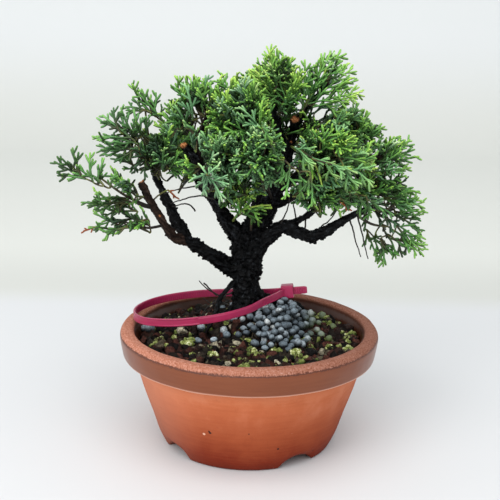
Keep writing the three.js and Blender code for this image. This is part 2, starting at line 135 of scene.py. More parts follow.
def add_node(
    tree: Tree, kind: str, *values: Any, out: str = "", stops: Stops = (), **named: Any
) -> Socket | None:
    """Add a node to a shader or geometry tree, with its settings, values and links.

    Args:
        tree: The tree that gets the node.
        kind: A name in KINDS, or the node's own type.
        values: A value, a hex colour or a socket to link, for the inputs in use in their order.
        out: The name of the output to give, where it isn't the first in use.
        stops: Positions and sRGB hex colours, for a colour ramp.
        named: Settings in small letters, and inputs by their names, with _ for a space.

    Returns:
        The output, or None if the node has none.
    """
    node_type, settings = KINDS.get(kind, (kind, {}))
    node = tree.nodes.new(node_type)
    facts = settings | named
    for name in filter(str.islower, facts):
        setattr(node, name, facts[name])
    usable = [socket for socket in node.inputs if socket.enabled]
    given = list(zip(usable, values))
    for name in facts:
        if not name.islower():
            socket = next(s for s in usable if s.name == name.replace("_", " "))
            given.append((socket, facts[name]))
    for socket, value in given:
        if isinstance(value, Socket):
            tree.links.new(value, socket)
        else:
            is_colour = isinstance(value, str) and value.startswith("#")
            socket.default_value = linear(value) if is_colour else value
    if stops:
        elements = node.color_ramp.elements
        elements.remove(elements[1])
        elements[0].position, elements[0].color = stops[0][0], linear(stops[0][1])
        for position, colour in stops[1:]:
            elements.new(position).color = linear(colour)
    return node.outputs[out] if out else next((s for s in node.outputs if s.enabled), None)


def start_tree(name: str, sizes: Mapping[str, str]) -> tuple[Tree, dict[str, Socket]]:
    """Begin a geometry tree that takes a geometry, some named sizes and a material.

    Args:
        name: The tree's name.
        sizes: The kind of socket for each named size, such as Float.

    Returns:
        The tree, and the sockets that its inputs arrive on, by name.
    """
    tree = bpy.data.node_groups.new(name, "GeometryNodeTree")
    tree.interface.new_socket("Geometry", in_out="OUTPUT", socket_type="NodeSocketGeometry")
    for label, kind in {"Geometry": "Geometry", **sizes, "Material": "Material"}.items():
        tree.interface.new_socket(label, in_out="INPUT", socket_type=f"NodeSocket{kind}")
    group = tree.nodes.new("NodeGroupInput")
    return tree, {socket.name: socket for socket in group.outputs if socket.name}


def end_tree(tree: Tree, geometry: Socket, material: Socket) -> Tree:
    """Finish a geometry tree with real geometry and its material.

    Args:
        tree: The tree.
        geometry: The socket with what was made.
        material: The socket with the material.

    Returns:
        The same tree.
    """
    real = add_node(tree, "GeometryNodeRealizeInstances", geometry)
    dressed = add_node(tree, "GeometryNodeSetMaterial", real, Material=material)
    add_node(tree, "NodeGroupOutput", dressed)
    return tree


# ---- Meshes ----


def store(mesh: Mesh, label: str, values: np.ndarray) -> None:
    """Store a value for every vertex of a mesh.

    Args:
        mesh: The mesh.
        label: The attribute's name.
        values: A number or a vector for each vertex.
    """
    kind, slot = ("FLOAT_VECTOR", "vector") if values.ndim == 2 else ("FLOAT", "value")
    if values.dtype.kind == "i":
        kind = "INT"
    attribute = mesh.attributes.new(label, kind, "POINT")
    attribute.data.foreach_set(slot, np.ravel(values))


def new_object(
    name: str, points: np.ndarray, edges: Sequence[Sequence[int]] = (),
    faces: Sequence[Sequence[int]] = (), values: Mapping[str, np.ndarray] | None = None
) -> Object:
    """Make a mesh object in the scene.

    Args:
        name: Its name.
        points: Its vertices.
        edges: Pairs of vertex numbers.
        faces: Rings of vertex numbers.
        values: What is stored for each vertex, by name.

    Returns:
        The object.
    """
    mesh = bpy.data.meshes.new(name)
    mesh.from_pydata(np.asarray(points, float).tolist(), edges, faces)
    for label, given in (values or {}).items():
        store(mesh, label, np.asarray(given))
    return linked(name, mesh)


def strings(name: str, lines: Sequence[np.ndarray], columns: Sequence[str]) -> Object:
    """Make an object of separate strings of edges.

    Args:
        name: Its name.
        lines: An array for each string, of rows with x, y, z and the columns' values.
        columns: The names of the values after z.

    Returns:
        The object, with each column stored on its vertices.
    """
    rows = np.concatenate(lines)
    breaks = set(np.cumsum([len(line) for line in lines]).tolist())
    edges = [(i, i + 1) for i in range(len(rows) - 1) if i + 1 not in breaks]
    values = {label: rows[:, 3 + k] for k, label in enumerate(columns)}
    return new_object(name, rows[:, :3], edges=edges, values=values)


def vertices_of(mesh: Mesh) -> np.ndarray:
    """Read a mesh's vertices.

    Args:
        mesh: The mesh.

    Returns:
        One row for each vertex.
    """
    flat = np.zeros(len(mesh.vertices) * 3, np.float32)
    mesh.vertices.foreach_get("co", flat)
    return flat.reshape(-1, 3).astype(float)


def settled(made: Object) -> Object:
    """Turn what an object's modifiers show into its own plain mesh.

    Args:
        made: The object.

    Returns:
        The same object, without modifiers.
    """
    bpy.context.view_layer.update()
    graph = bpy.context.evaluated_depsgraph_get()
    shown = made.evaluated_get(graph)
    mesh = bpy.data.meshes.new_from_object(shown, preserve_all_data_layers=True, depsgraph=graph)
    before = made.data
    made.modifiers.clear()
    made.data = mesh
    bpy.data.meshes.remove(before)
    return made


def grown(made: Object, tree: Tree, sizes: Mapping[str, Any]) -> Object:
    """Run a geometry tree on an object and keep the result as its plain mesh.

    Args:
        made: The object.
        tree: The tree.
        sizes: The tree's inputs by name.

    Returns:
        The same object.
    """
    modifier = made.modifiers.new(tree.name, "NODES")
    modifier.node_group = tree
    for item in tree.interface.items_tree:
        if item.item_type == "SOCKET" and item.in_out == "INPUT" and item.name in sizes:
            modifier[item.identifier] = sizes[item.name]
    return settled(made)


def spline(rows: np.ndarray, steps: int) -> np.ndarray:
    """Run a smooth line through points, as a centripetal Catmull-Rom spline does.

    Args:
        rows: The points, with any further values after z.
        steps: How many pieces each span gets.

    Returns:
        The finer line, with the further values carried along.
    """
    rows = np.asarray(rows, float)
    padded = np.vstack([2 * rows[0] - rows[1], rows, 2 * rows[-1] - rows[-2]])
    made = []
    for i in range(len(rows) - 1):
        p = padded[i : i + 4]
        t = np.concatenate([[0], np.cumsum(np.linalg.norm(np.diff(p[:, :3], axis=0), axis=1) ** 0.5)])
        for at in np.linspace(t[1], t[2], steps, endpoint=False):
            a = [_between(p[k], p[k + 1], t[k], t[k + 1], at) for k in range(3)]
            b = [_between(a[k], a[k + 1], t[k], t[k + 2], at) for k in range(2)]
            made.append(_between(b[0], b[1], t[1], t[2], at))
    return np.vstack([*made, rows[-1]])


def _between(a: np.ndarray, b: np.ndarray, start: float, end: float, at: float) -> np.ndarray:
    """Find what lies between two values at one place of their span."""
    return (a * (end - at) + b * (at - start)) / (end - start)


def unit(vector: np.ndarray) -> np.ndarray:
    """Scale a vector to a length of one."""
    return vector / np.linalg.norm(vector)


def lengths(line: np.ndarray) -> np.ndarray:
    """Give the length of a line up to each of its points."""
    return np.concatenate([[0], np.cumsum(np.linalg.norm(np.diff(line, axis=0), axis=1))])


def linked(name: str, data: bpy.types.ID) -> Object:
    """Make an object in the scene."""
    made = bpy.data.objects.new(name, data)
    bpy.context.scene.collection.objects.link(made)
    return made


def rounded_outline(corners: Sequence[Triple], steps: int = 5) -> np.ndarray:
    """Round the corners of a closed outline.

    Args:
        corners: Radius, height and fillet of each corner.
        steps: How many pieces a fillet has.

    Returns:
        The closed outline as radius, 0 and height.
    """
    made = []
    for i, (r, z, fillet) in enumerate(corners):
        here = np.array([r, z])
        before = np.array(corners[i - 1][:2]) - here
        after = np.array(corners[(i + 1) % len(corners)][:2]) - here
        if fillet == 0:
            made.append(here)
            continue
        cut = min(fillet, 0.45 * np.linalg.norm(before), 0.45 * np.linalg.norm(after))
        start, end = here + unit(before) * cut, here + unit(after) * cut
        for t in np.linspace(0, 1, steps):
            made.append((1 - t) ** 2 * start + 2 * t * (1 - t) * here + t * t * end)
    made.append(made[0])
    return np.array([[r, 0.0, z] for r, z in made])


def finished(made: Object, finish: "Finish", *nodes: str) -> Object:
    """Turn a piece to metres, face it outwards, dress it and hang it on the frame.

    Args:
        made: The piece, in millimetres.
        finish: Its finish.
        nodes: The frame's solids that it stands for.

    Returns:
        The piece.
    """
    mesh = made.data
    mesh.transform(Matrix.Scale(MM, 4))
    shape = bmesh.new()
    shape.from_mesh(mesh)
    if shape.calc_volume(signed=True) < 0:
        bmesh.ops.reverse_faces(shape, faces=shape.faces)
        shape.to_mesh(mesh)
    shape.free()
    for label in ("kind", "facing", "size", "thickness", "girth"):
        if label in mesh.attributes:
            mesh.attributes.remove(mesh.attributes[label])
    if not mesh.materials:
        mesh.materials.append(finish.material())
    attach(made, ROOT)
    if nodes:
        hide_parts(*nodes)
    triangles = sum(len(face.vertices) - 2 for face in mesh.polygons)
    LOG.info("%s: %d triangles in %s", made.name, triangles, finish.name)
    return made


# ---- The camera ----


@dataclass(frozen=True)
class PhotoCamera:
    """The camera of the photograph: where it stands, how it is turned, and its lens."""

    place: Triple = (-0.43, -582, 264)
    pitch_down: float = 14.45
    roll: float = 1.03
    lens: float = 75.53
    sensor: float = 36.0
    frame_side: int = 500

    def turn(self) -> Quaternion:
        """Give the camera's rotation."""
        level = Euler((math.radians(90 - self.pitch_down), 0, 0)).to_quaternion()
        return level @ Quaternion((0, 0, 1), math.radians(self.roll))

    def at_depth(self, pixel: tuple[float, float], depth: float) -> np.ndarray:
        """Find the point seen at a pixel.

        Args:
            pixel: Across and down in the photograph's 500 by 500 frame.
            depth: The point's y.

        Returns:
            The point.
        """
        focal = self.lens / self.sensor * self.frame_side
        half = self.frame_side / 2
        ray = np.array(self.turn() @ Vector((pixel[0] - half, half - pixel[1], -focal)))
        start = np.array(self.place)
        return start + ray * ((depth - start[1]) / ray[1])

    def pixels(self, points: np.ndarray) -> np.ndarray:
        """Find where points appear in the photograph.

        Args:
            points: One point in each row.

        Returns:
            Across and down for each point.
        """
        local = (points - np.array(self.place)) @ np.array(self.turn().to_matrix())
        focal = self.lens / self.sensor * self.frame_side
        scale = focal / -local[:, 2]
        half = self.frame_side / 2
        return np.stack([half + local[:, 0] * scale, half - local[:, 1] * scale], axis=1)

    def build(self) -> None:
        """Put the camera in the scene."""
        data = bpy.data.cameras.new("camera")
        data.lens = self.lens
        data.sensor_width = self.sensor
        data.clip_start, data.clip_end = 0.01, 20
        made = linked("camera", data)
        made.location = [v * MM for v in self.place]
        made.rotation_mode = "QUATERNION"
        made.rotation_quaternion = self.turn()
        bpy.context.scene.camera = made


CAMERA = PhotoCamera()


# ---- Finishes ----


@dataclass(frozen=True)
class Finish:
    """A surface: the name of its material and the record's slot that it stands for."""

    name: str
    slot: str

    def paint(self, add: Adder) -> Inputs:
        """Add the finish's nodes.

        Args:
            add: Adds a node to the material's tree.

        Returns:
            The shader's inputs by name, with _ for a space.
        """
        raise NotImplementedError

    def material(self) -> bpy.types.Material:
        """Make the finish's material, once.

        Returns:
            The material.
        """
        known = bpy.data.materials.get(self.name)
        if known:
            return known
        made = bpy.data.materials.new(self.name)
        made.use_nodes = True
        made.node_tree.nodes.clear()
        add = partial(add_node, made.node_tree)
        shader = add("ShaderNodeBsdfPrincipled", **self.paint(add))
        add("ShaderNodeOutputMaterial", Surface=shader)
        return made


def place_in_mm(add: Adder) -> Socket:
    """Give a surface point's place on its object in millimetres."""
    return add("SCALE", add("PLACE", out="Object"), 1 / MM)


def spot_mask(add: Adder, place: Socket, spots: Rows) -> Socket:
    """Mark round spots.

    Args:
        add: Adds a node to the material's tree.
        place: The surface point's place in millimetres.
        spots: The x, y, z and radius of each spot.

    Returns:
        1 inside a spot and 0 well outside.
    """
    masks = []
    for *middle, radius in spots:
        masks.append(add("EASE", add("DISTANCE", place, middle), radius, radius * 0.6))
    return reduce(partial(add, "MAXIMUM"), masks)


@dataclass(frozen=True)
class FiredTerracotta(Finish):
    """Turned and fired red clay, dull and open-grained, with a smooth slip on the collar.

    The slip gives the collar its soft gloss. The lip is worn back to pinkish clay with dark pits,
    and the bare body is redder and darker towards its feet.
    """

    name: str = "fired_terracotta"
    slot: str = "terracotta"
    body: Stops = ((0, "#651c07"), (0.16, "#74240a"), (0.5, "#994827"), (0.9, "#b6623d"), (1, "#c06d47"))
    slip: str = "#6d351a"
    slip_light: str = "#7d4426"
    lip: Stops = ((0.32, "#6b3828"), (0.43, "#9c6048"), (0.6, "#b17a67"), (0.74, "#cca195"))
    # The inside of the rim: damp clay, painted darker as painted shade.
    inside: str = "#3c1b0b"
    # The pale band along the collar's lower edge: a painted highlight.
    edge: str = "#c9927b"
    stain: str = "#7c3320"
    grime: str = "#452016"
    collar_bottom: float = 53.0
    collar_top: float = 65.6
    grit: float = 0.9
    marks: Rows = (
        (-20.4, -54.8, 25, 1), (-20.9, -54.9, 26, 0.7), (16.9, -52.6, 15.3, 0.8), (37.2, -37, 7.1, 0.8),
        (0.8, -59.1, 26.8, 0.5), (-36, -48, 33, 0.6), (-22.6, -70, 63, 0.8)
    )
    pits: Rows = (
        (-23.7, -52.8, 23.5, 1), (24, -52.5, 25, 0.7), (37, -46.5, 31.5, 0.6), (-12, -72.4, 58, 0.5),
        (31, -66.6, 60, 0.5)
    )

    def paint(self, add: Adder) -> Inputs:
        """Paint the body, the collar, the lip and the inside by height, radius and side.

        The body's left side and the lip's left end are painted lighter, as painted light from the left;
        the collar's lower edge carries a painted highlight, and the inside of the rim painted shade.

        Args:
            add: Adds a node.

        Returns:
            The shader's inputs.
        """
        place = place_in_mm(add)
        height = add("SPLIT", place, out="Z")
        radius = add("LENGTH", add("STRETCH", place, (1, 1, 0)))
        blotch = add("NOISE", place, 1 / 16, 4, 0.6)
        turning = add("NOISE", add("STRETCH", place, (0.05, 0.05, 0.9)), 0.8, 3)
        grain = add("NOISE", place, 1 / self.grit, 3)

        drift = add("MULTIPLY_ADD", turning, 9, add("MULTIPLY_ADD", blotch, 16, height))
        body = add("RAMP", add("RANGE", drift, 10.5, 60), stops=self.body)
        bloom = add("MULTIPLY", add("EASE", blotch, 0.4, 0.8, 0, 0.22), add("EASE", height, 22, 44))
        right = add("SPLIT", place, out="X")
        # The left side of the body is painted paler, as painted light from the left; the blotches above
        # are pale bloom on the clay.
        bloom = add("MAXIMUM", bloom, add("EASE", right, -20, -60, 0, 0.3))
        body = add("MIX", bloom, body, "#d2987f")
        stained = add("EASE", add("NOISE", place, 1 / 5, 5, 0.7), 0.6, 0.8, 0, 0.4)
        body = add("MIX", stained, body, self.stain)

        slip = add("MIX", turning, self.slip, self.slip_light)
        fine = add("NOISE", place, 1 / 0.9, 4, 0.7)
        lip = add("RAMP", fine, stops=self.lip)
        # The lip is painted lighter at its left end and darker at its right, as painted light from the
        # left.
        lip = add("SCALE", lip, add("RANGE", right, -64, 66, 1.15, 0.62))

        bottom = self.collar_bottom
        on_collar = add("EASE", height, bottom - 0.3, bottom + 0.1)
        # A pale band painted along the collar's lower edge is a painted highlight.
        slip = add("MIX", add("EASE", height, bottom + 1.5, bottom + 0.5), slip, self.edge)
        worn = add("MULTIPLY_ADD", fine, 3.2, height)
        on_lip = add("EASE", worn, self.collar_top + 1.0, self.collar_top + 2.6)
        crack = add("MULTIPLY_ADD", turning, 2, worn)
        crack = add("ABSOLUTE", add("SUBTRACT", crack, self.collar_top + 2.6))
        crack = add("EASE", crack, 0.8, 0.3, 0, 0.8)
        # The inside of the rim is painted dark: damp clay, and painted shade under the rim.
        damp_shaded_inside = add("MULTIPLY", add("EASE", radius, 67.6, 66.4), add("EASE", height, 54, 58))
        colour = add("MIX", on_lip, add("MIX", on_collar, body, slip), lip)
        colour = add("MIX", damp_shaded_inside, colour, self.inside)
        crack = add("MULTIPLY", crack, add("EASE", radius, 71, 73.5))
        colour = add("MIX", add("MULTIPLY", crack, on_collar), colour, self.grime)
        dark = spot_mask(add, place, self.marks)
        pale = spot_mask(add, place, self.pits)
        colour = add("MIX", pale, add("MIX", dark, colour, "#3a1d16"), "#dcae95")

        glazed = add("EXCESS", on_collar, on_lip)
        rough = add("RANGE", glazed, 0, 1, 0.78, 0.3)
        relief = add("MULTIPLY_ADD", dark, -3, add("MULTIPLY_ADD", turning, 0.5, grain))
        relief = add("MULTIPLY_ADD", pale, -2, relief)
        relief = add("MULTIPLY_ADD", add("MULTIPLY", fine, on_lip), 1.8, relief)
        quiet = add("RANGE", glazed, 0, 1, 0.55, 0.12)
        normal = add("BUMP", Strength=quiet, Distance=0.15 * MM, Height=relief)
        shine = add("RANGE", glazed, 0, 1, 0.22, 0.4)
        return dict(Base_Color=colour, Roughness=rough, IOR=1.5, Specular_IOR_Level=shine, Normal=normal)


@dataclass(frozen=True)
class BakedSoil(Finish):
    """Crumbs of baked clay, lava and bark, angular and quite dull.

    Most are near-black and wet brown, some are brick red, a few are pale pumice, and some near the
    pot's edge carry yellow-green algae. Each crumb is painted lighter on top and darker underneath,
    as painted light and shade.
    """

    name: str = "granular_soil"
    slot: str = "soil"
    crumbs: Stops = (
        (0, "#040303"), (0.22, "#100a08"), (0.4, "#22120d"), (0.54, "#361c16"), (0.66, "#4b2a22"),
        (0.73, "#15100d"), (0.87, "#2c251d"), (0.96, "#5c5342"), (1, "#b5ae96")
    )
    algae: Stops = (
        (0.3, "#0d1207"), (0.55, "#2b3714"), (0.75, "#5c682e"), (0.9, "#989e62"), (1, "#d3d3b8")
    )

    def paint(self, add: Adder) -> Inputs:
        """Colour each crumb by its tint, with algae in patches.

        Args:
            add: Adds a node.

        Returns:
            The shader's inputs.
        """
        place = place_in_mm(add)
        tint = add("STORED", attribute_name="tint", out="Fac")
        crumb = add("RAMP", tint, stops=self.crumbs)
        speck = add("NOISE", place, 1 / 1.1, 5, 0.75)
        crumb = add("SCALE", crumb, add("RANGE", speck, 0.36, 0.68, 0.22, 1.75))
        # Faces that look up are painted lighter and those that look down darker, as painted light and
        # shade; the algae is cream on top, partly real growth and partly painted light, and near-black
        # underneath as painted shade.
        upper = add("SPLIT", add("PLACE", out="Normal"), out="Z")
        green = add("RAMP", add("MULTIPLY_ADD", upper, 0.32, speck), stops=self.algae)
        painted_top_light = add("EASE", upper, -0.1, 0.95, 0.22, 1.2)
        draw = add("FRACT", add("MULTIPLY", tint, 7.3))
        mask = add("EASE", add("MULTIPLY_ADD", speck, 0.2, draw), 0.98, 1.03, 0, 0.92)
        colour = add("SCALE", add("MIX", mask, crumb, green), painted_top_light)
        normal = add("BUMP", Strength=0.9, Distance=0.5 * MM, Height=speck)
        return dict(Base_Color=colour, Roughness=0.65, IOR=1.5, Specular_IOR_Level=0.12, Normal=normal)


@dataclass(frozen=True)
class MossyCrumb(Finish):
    """Pale pumice crumbs grown over with algae and moss, bright yellow-green and dull."""

    name: str = "algae_and_moss"
    slot: str = "moss"
    shades: Stops = (
        (0.25, "#222c0c"), (0.42, "#4e5a22"), (0.54, "#868f45"), (0.62, "#bcc187"), (0.74, "#e6e5d2")
    )

    def paint(self, add: Adder) -> Inputs:
        """Mottle each lump from deep green to pale cream.

        Args:
            add: Adds a node.

        Returns:
            The shader's inputs.
        """
        place = place_in_mm(add)
        tint = add("STORED", attribute_name="tint", out="Fac")
        mottle = add("NOISE", place, 1 / 1.3, 5, 0.7)
        share = add("SUBTRACT", add("MULTIPLY_ADD", tint, 0.26, mottle), 0.13)
        colour = add("RAMP", share, stops=self.shades)
        normal = add("BUMP", Strength=0.9, Distance=0.5 * MM, Height=mottle)
        return dict(Base_Color=colour, Roughness=0.9, IOR=1.45, Normal=normal)


@dataclass(frozen=True)
class CoatedPrill(Finish):
    """Resin-coated fertiliser prills: rounded, blue-grey, with a chalky bloom and dark pores."""

    name: str = "coated_fertiliser"
    slot: str = "fertiliser"
    shades: Stops = ((0, "#4a545c"), (0.4, "#6d7981"), (0.8, "#96a1a8"), (1, "#c3c8c8"))
    algae: str = "#5d6a3c"

    def paint(self, add: Adder) -> Inputs:
        """Colour each prill by its tint, chalky, darker in its pores, and painted lighter on top.

        Args:
            add: Adds a node.

        Returns:
            The shader's inputs.
        """
        place = place_in_mm(add)
        colour = add("RAMP", add("STORED", attribute_name="tint", out="Fac"), stops=self.shades)
        chalk = add("NOISE", place, 1 / 1.1, 5, 0.75)
        colour = add("SCALE", colour, add("RANGE", chalk, 0.36, 0.66, 0.35, 1.5))
        upper = add("SPLIT", add("PLACE", out="Normal"), out="Z")
        # Tops are painted lighter and undersides darker: painted light and shade.
        colour = add("SCALE", colour, add("EASE", upper, -0.3, 0.85, 0.15, 1.25))
        old = add("MULTIPLY_ADD", chalk, 30, add("SPLIT", place, out="X"))
        colour = add("MIX", add("EASE", old, 44, 62, 0, 0.8), colour, self.algae)
        normal = add("BUMP", Strength=0.7, Distance=0.35 * MM, Height=chalk)
        return dict(Base_Color=colour, Roughness=0.55, IOR=1.48, Specular_IOR_Level=0.25, Normal=normal)


@dataclass(frozen=True)
class JuniperBark(Finish):
    """Old juniper bark, painted near-black by damp, flaking in strips along the limb.

    The flakes' raised edges are painted pale blue-grey: partly their paler edges and partly painted
    sheen. Younger limbs are a warmer brown. Sawn ends and scars show orange-brown heartwood.
    """

    name: str = "juniper_bark"
    slot: str = "bark"
    # The pale blue-grey top stops stand for paler flake edges and for painted sheen.
    strips: Stops = (
        (0.3, "#000000"), (0.48, "#010102"), (0.57, "#060708"), (0.68, "#25282c"), (0.8, "#65686b")
    )
    young: Stops = ((0.3, "#120c0a"), (0.5, "#2b1e18"), (0.68, "#49372c"), (0.85, "#6f5a4c"))
    cut_wood: Stops = ((0.35, "#5a301b"), (0.5, "#9c5f35"), (0.7, "#d3a06d"))
    scars: Rows = (
        (-40, 1.8, 175.2, 4.2), (23.8, 17.6, 188.2, 3.6), (-62.2, -6, 155.2, 2.4), (22.4, 23.5, 173, 1.1),
        (-52, -3.2, 134, 1.3)
    )

    def paint(self, add: Adder) -> Inputs:
        """Run the strips along each limb by its stored place.

        Args:
            add: Adds a node.

        Returns:
            The shader's inputs.
        """
        place = place_in_mm(add)
        run = add("STORED", attribute_name="bark_place", out="Vector")
        youth = add("STORED", attribute_name="youth", out="Fac")
        strip = add("NOISE", run, 1 / 1.6, 6, 0.65)
        fine = add("NOISE", place, 1 / 0.7, 4, 0.7)
        share = add("SUBTRACT", add("MULTIPLY_ADD", fine, 0.35, strip), 0.16)
        old = add("RAMP", share, stops=self.strips)
        colour = add("MIX", youth, old, add("RAMP", share, stops=self.young))
        bare = spot_mask(add, place, self.scars)
        colour = add("MIX", bare, colour, add("RAMP", fine, stops=self.cut_wood))
        relief = add("MULTIPLY_ADD", fine, 0.4, strip)
        normal = add("BUMP", Strength=0.9, Distance=0.7 * MM, Height=relief)
        return dict(Base_Color=colour, Roughness=0.5, IOR=1.45, Specular_IOR_Level=0.12, Normal=normal)


@dataclass(frozen=True)
class TwigBark(Finish):
    """Young twig bark: thin, smooth and olive-brown, darker where it is older."""

    name: str = "young_twig_bark"
    slot: str = "bark"
    shades: Stops = (
        (0, "#0b0908"), (0.35, "#2a2016"), (0.6, "#58552a"), (0.85, "#6c8236"), (1, "#8fa944")
    )

    def paint(self, add: Adder) -> Inputs:
        """Colour the twigs by their age, with dull streaks.

        Args:
            add: Adds a node.

        Returns:
            The shader's inputs.
        """
        place = place_in_mm(add)
        age = add("STORED", attribute_name="age", out="Fac")
        streak = add("NOISE", place, 1 / 1.4, 4, 0.6)
        share = add("SUBTRACT", add("MULTIPLY_ADD", streak, 0.5, age), 0.25)
        colour = add("RAMP", share, stops=self.shades)
        normal = add("BUMP", Strength=0.6, Distance=0.3 * MM, Height=streak)
        return dict(Base_Color=colour, Roughness=0.7, IOR=1.45, Normal=normal)


@dataclass(frozen=True)
class ScaleLeaf(Finish):
    """Juniper scale leaves: waxy scales in crossed pairs, pressed to the cord that they cover.

    Old cords are deep green, new tips yellow-green, and some sprays carry a blue-grey wax. Their
    undersides are painted darker, sprays deep in the canopy much darker, and each scale darker at
    its base, all as painted shade. The scales' edges give the cords their fine knurl, and they are
    drawn a little larger than life.
    """

    name: str = "juniper_scale_leaf"
    slot: str = "leaf"
    ages: Stops = (
        (0, "#54532a"), (0.14, "#385826"), (0.4, "#4f843b"), (0.66, "#7aae48"), (0.86, "#98c44c"),
        (1, "#bfda68")
    )
    waxed: Stops = ((0, "#46553a"), (0.3, "#5b8a62"), (0.7, "#8ab68c"), (1, "#c0d9ad"))
    dead: str = "#8a4826"
    scale_pitch: float = 2.2

    def paint(self, add: Adder) -> Inputs:
        """Colour by age, wax and tint, with scales along the cord and painted shade.

        Args:
            add: Adds a node.

        Returns:
            The shader's inputs.
        """
        facts = {
            label: add("STORED", attribute_name=label, out="Fac")
            for label in ("age", "tint", "wax", "dead", "along", "around")
        }
        place = place_in_mm(add)
        mottle = add("NOISE", place, 1 / 4, 3)
        aged = add("MULTIPLY_ADD", facts["tint"], 0.5, facts["age"])
        aged = add("SUBTRACT", add("MULTIPLY_ADD", mottle, 0.3, aged), 0.4)
        green = add("RAMP", aged, stops=self.ages)
        colour = add("MIX", facts["wax"], green, add("RAMP", aged, stops=self.waxed))

        side = add("EASE", add("COSINE", add("MULTIPLY", facts["around"], 2)), -0.4, 0.4)
        step = add("MULTIPLY", facts["along"], 1 / self.scale_pitch)
        scale = add("FRACT", add("MULTIPLY_ADD", side, 0.5, step))
        height = add("SUBTRACT", scale, add("EASE", scale, 0.86, 1))
        # Each scale is painted darker towards its base: painted shade where it tucks under the scale
        # before.
        dark = add("RANGE", height, 0, 1, 0.72, 1.12)
        # Sprays with a low tint, deep in the canopy, are painted much darker: painted shade.
        dark = add("MULTIPLY", dark, add("RANGE", facts["tint"], 0, 0.3, 0.15))
        upper = add("SPLIT", add("PLACE", out="Normal"), out="Z")
        # Undersides are painted darker and tops lighter: painted shade and light.
        dark = add("MULTIPLY", dark, add("EASE", upper, -0.7, 0.5, 0.4, 1.25))
        colour = add("MIX", facts["dead"], add("SCALE", colour, dark), self.dead)
        normal = add("BUMP", Strength=0.8, Distance=0.25 * MM, Height=height)
        return dict(Base_Color=colour, Roughness=0.4, IOR=1.45, Specular_IOR_Level=0.4, Normal=normal)


@dataclass(frozen=True)
class MouldedNylon(Finish):
    """Injection-moulded nylon, dyed crimson: smooth and glossy with faint flow waves."""

    name: str = "moulded_nylon"
    slot: str = "nylon"
    deep: str = "#8f1b43"
    light: str = "#ad2b59"

    def paint(self, add: Adder) -> Inputs:
        """Vary the dye slowly and ripple the gloss.

        Args:
            add: Adds a node.

        Returns:
            The shader's inputs.
        """
        place = place_in_mm(add)
        flow = add("NOISE", place, 1 / 9, 2)
        fine = add("NOISE", place, 1 / 1.2, 3)
        colour = add("MIX", flow, self.deep, self.light)
        rough = add("RANGE", fine, 0, 1, 0.26, 0.42)
        normal = add("BUMP", Strength=0.15, Distance=0.1 * MM, Height=fine)
        return dict(
            Base_Color=colour, Roughness=rough, IOR=1.53, Normal=normal, Subsurface_Weight=0.08,
            Subsurface_Scale=0.8 * MM
        )


@dataclass(frozen=True)
class ExtrudedPlastic(Finish):
    """The drain screen's extruded polyethylene: black-green, waxy, dusted with soil."""

    name: str = "extruded_polyethylene"
    slot: str = "screen_plastic"
    plastic: str = "#171c17"
    dust: str = "#4a382c"

    def paint(self, add: Adder) -> Inputs:
        """Dust the plastic in patches.

        Args:
            add: Adds a node.

        Returns:
            The shader's inputs.
        """
        place = place_in_mm(add)
        dust = add("NOISE", place, 1 / 3, 5)
        mask = add("EASE", dust, 0.5, 0.7, 0, 0.7)
        colour = add("MIX", mask, self.plastic, self.dust)
        rough = add("RANGE", mask, 0, 1, 0.45, 0.85)
        normal = add("BUMP", Strength=0.3, Distance=0.1 * MM, Height=dust)
        return dict(Base_Color=colour, Roughness=rough, IOR=1.51, Normal=normal)


@dataclass(frozen=True)
class DrawnAluminium(Finish):
    """The staple's drawn aluminium wire: grey, a little oxidised, with fine drawing lines."""

    name: str = "drawn_aluminium"
    slot: str = "staple_wire"
    metal: str = "#a9aaa8"
    oxide: str = "#74716b"

    def paint(self, add: Adder) -> Inputs:
        """Dull the metal where it has oxidised.

        Args:
            add: Adds a node.

        Returns:
            The shader's inputs.
        """
        place = place_in_mm(add)
        film = add("NOISE", place, 1 / 2, 4)
        drawn = add("NOISE", add("STRETCH", place, (0.2, 3, 3)), 1, 2)
        colour = add("MIX", film, self.metal, self.oxide)
        rough = add("RANGE", film, 0, 1, 0.3, 0.55)
        normal = add("BUMP", Strength=0.2, Distance=0.05 * MM, Height=drawn)
        return dict(Base_Color=colour, Metallic=1.0, Roughness=rough, Normal=normal)


@dataclass(frozen=True)
class StudioPaper(Finish):
    """Matt white paper under and behind the object, with a trace of tooth."""

    name: str = "studio_paper"
    slot: str = ""
    paper: str = "#d5d6d7"
    far_paper: str = "#dadbd5"
    # The paper higher up is painted this lighter tone, as painted light.
    high_paper_light: str = "#e2e4e4"
    join: float = 303.0  # how far behind the pot the second sheet starts

    def paint(self, add: Adder) -> Inputs:
        """Give the paper its faint tooth, a second sheet behind the first, and painted shade and light.

        Args:
            add: Adds a node.

        Returns:
            The shader's inputs.
        """
        place = place_in_mm(add)
        axes = add("SPLIT", place).node.outputs
        back = axes["Y"]
        rise = add("EASE", back, self.join - 60, self.join)
        # A dark band is painted where the two sheets meet: a painted shadow.
        seam_shadow = add("MULTIPLY", rise, add("EASE", back, self.join + 160, self.join))
        seam_shadow = add("MULTIPLY", seam_shadow, 0.12)
        colour = add("MIX", rise, self.paper, self.far_paper)
        # The paper is painted lighter higher up: painted light.
        colour = add("MIX", add("EASE", axes["Z"], 0, 180), colour, self.high_paper_light)
        colour = add("MIX", seam_shadow, colour, "#000000")
        rough = add("RANGE", add("NOISE", place, 1 / 60, 2), 0, 1, 0.62, 0.72)
        return dict(Base_Color=colour, Roughness=rough, IOR=1.45)


# ---- Geometry trees ----


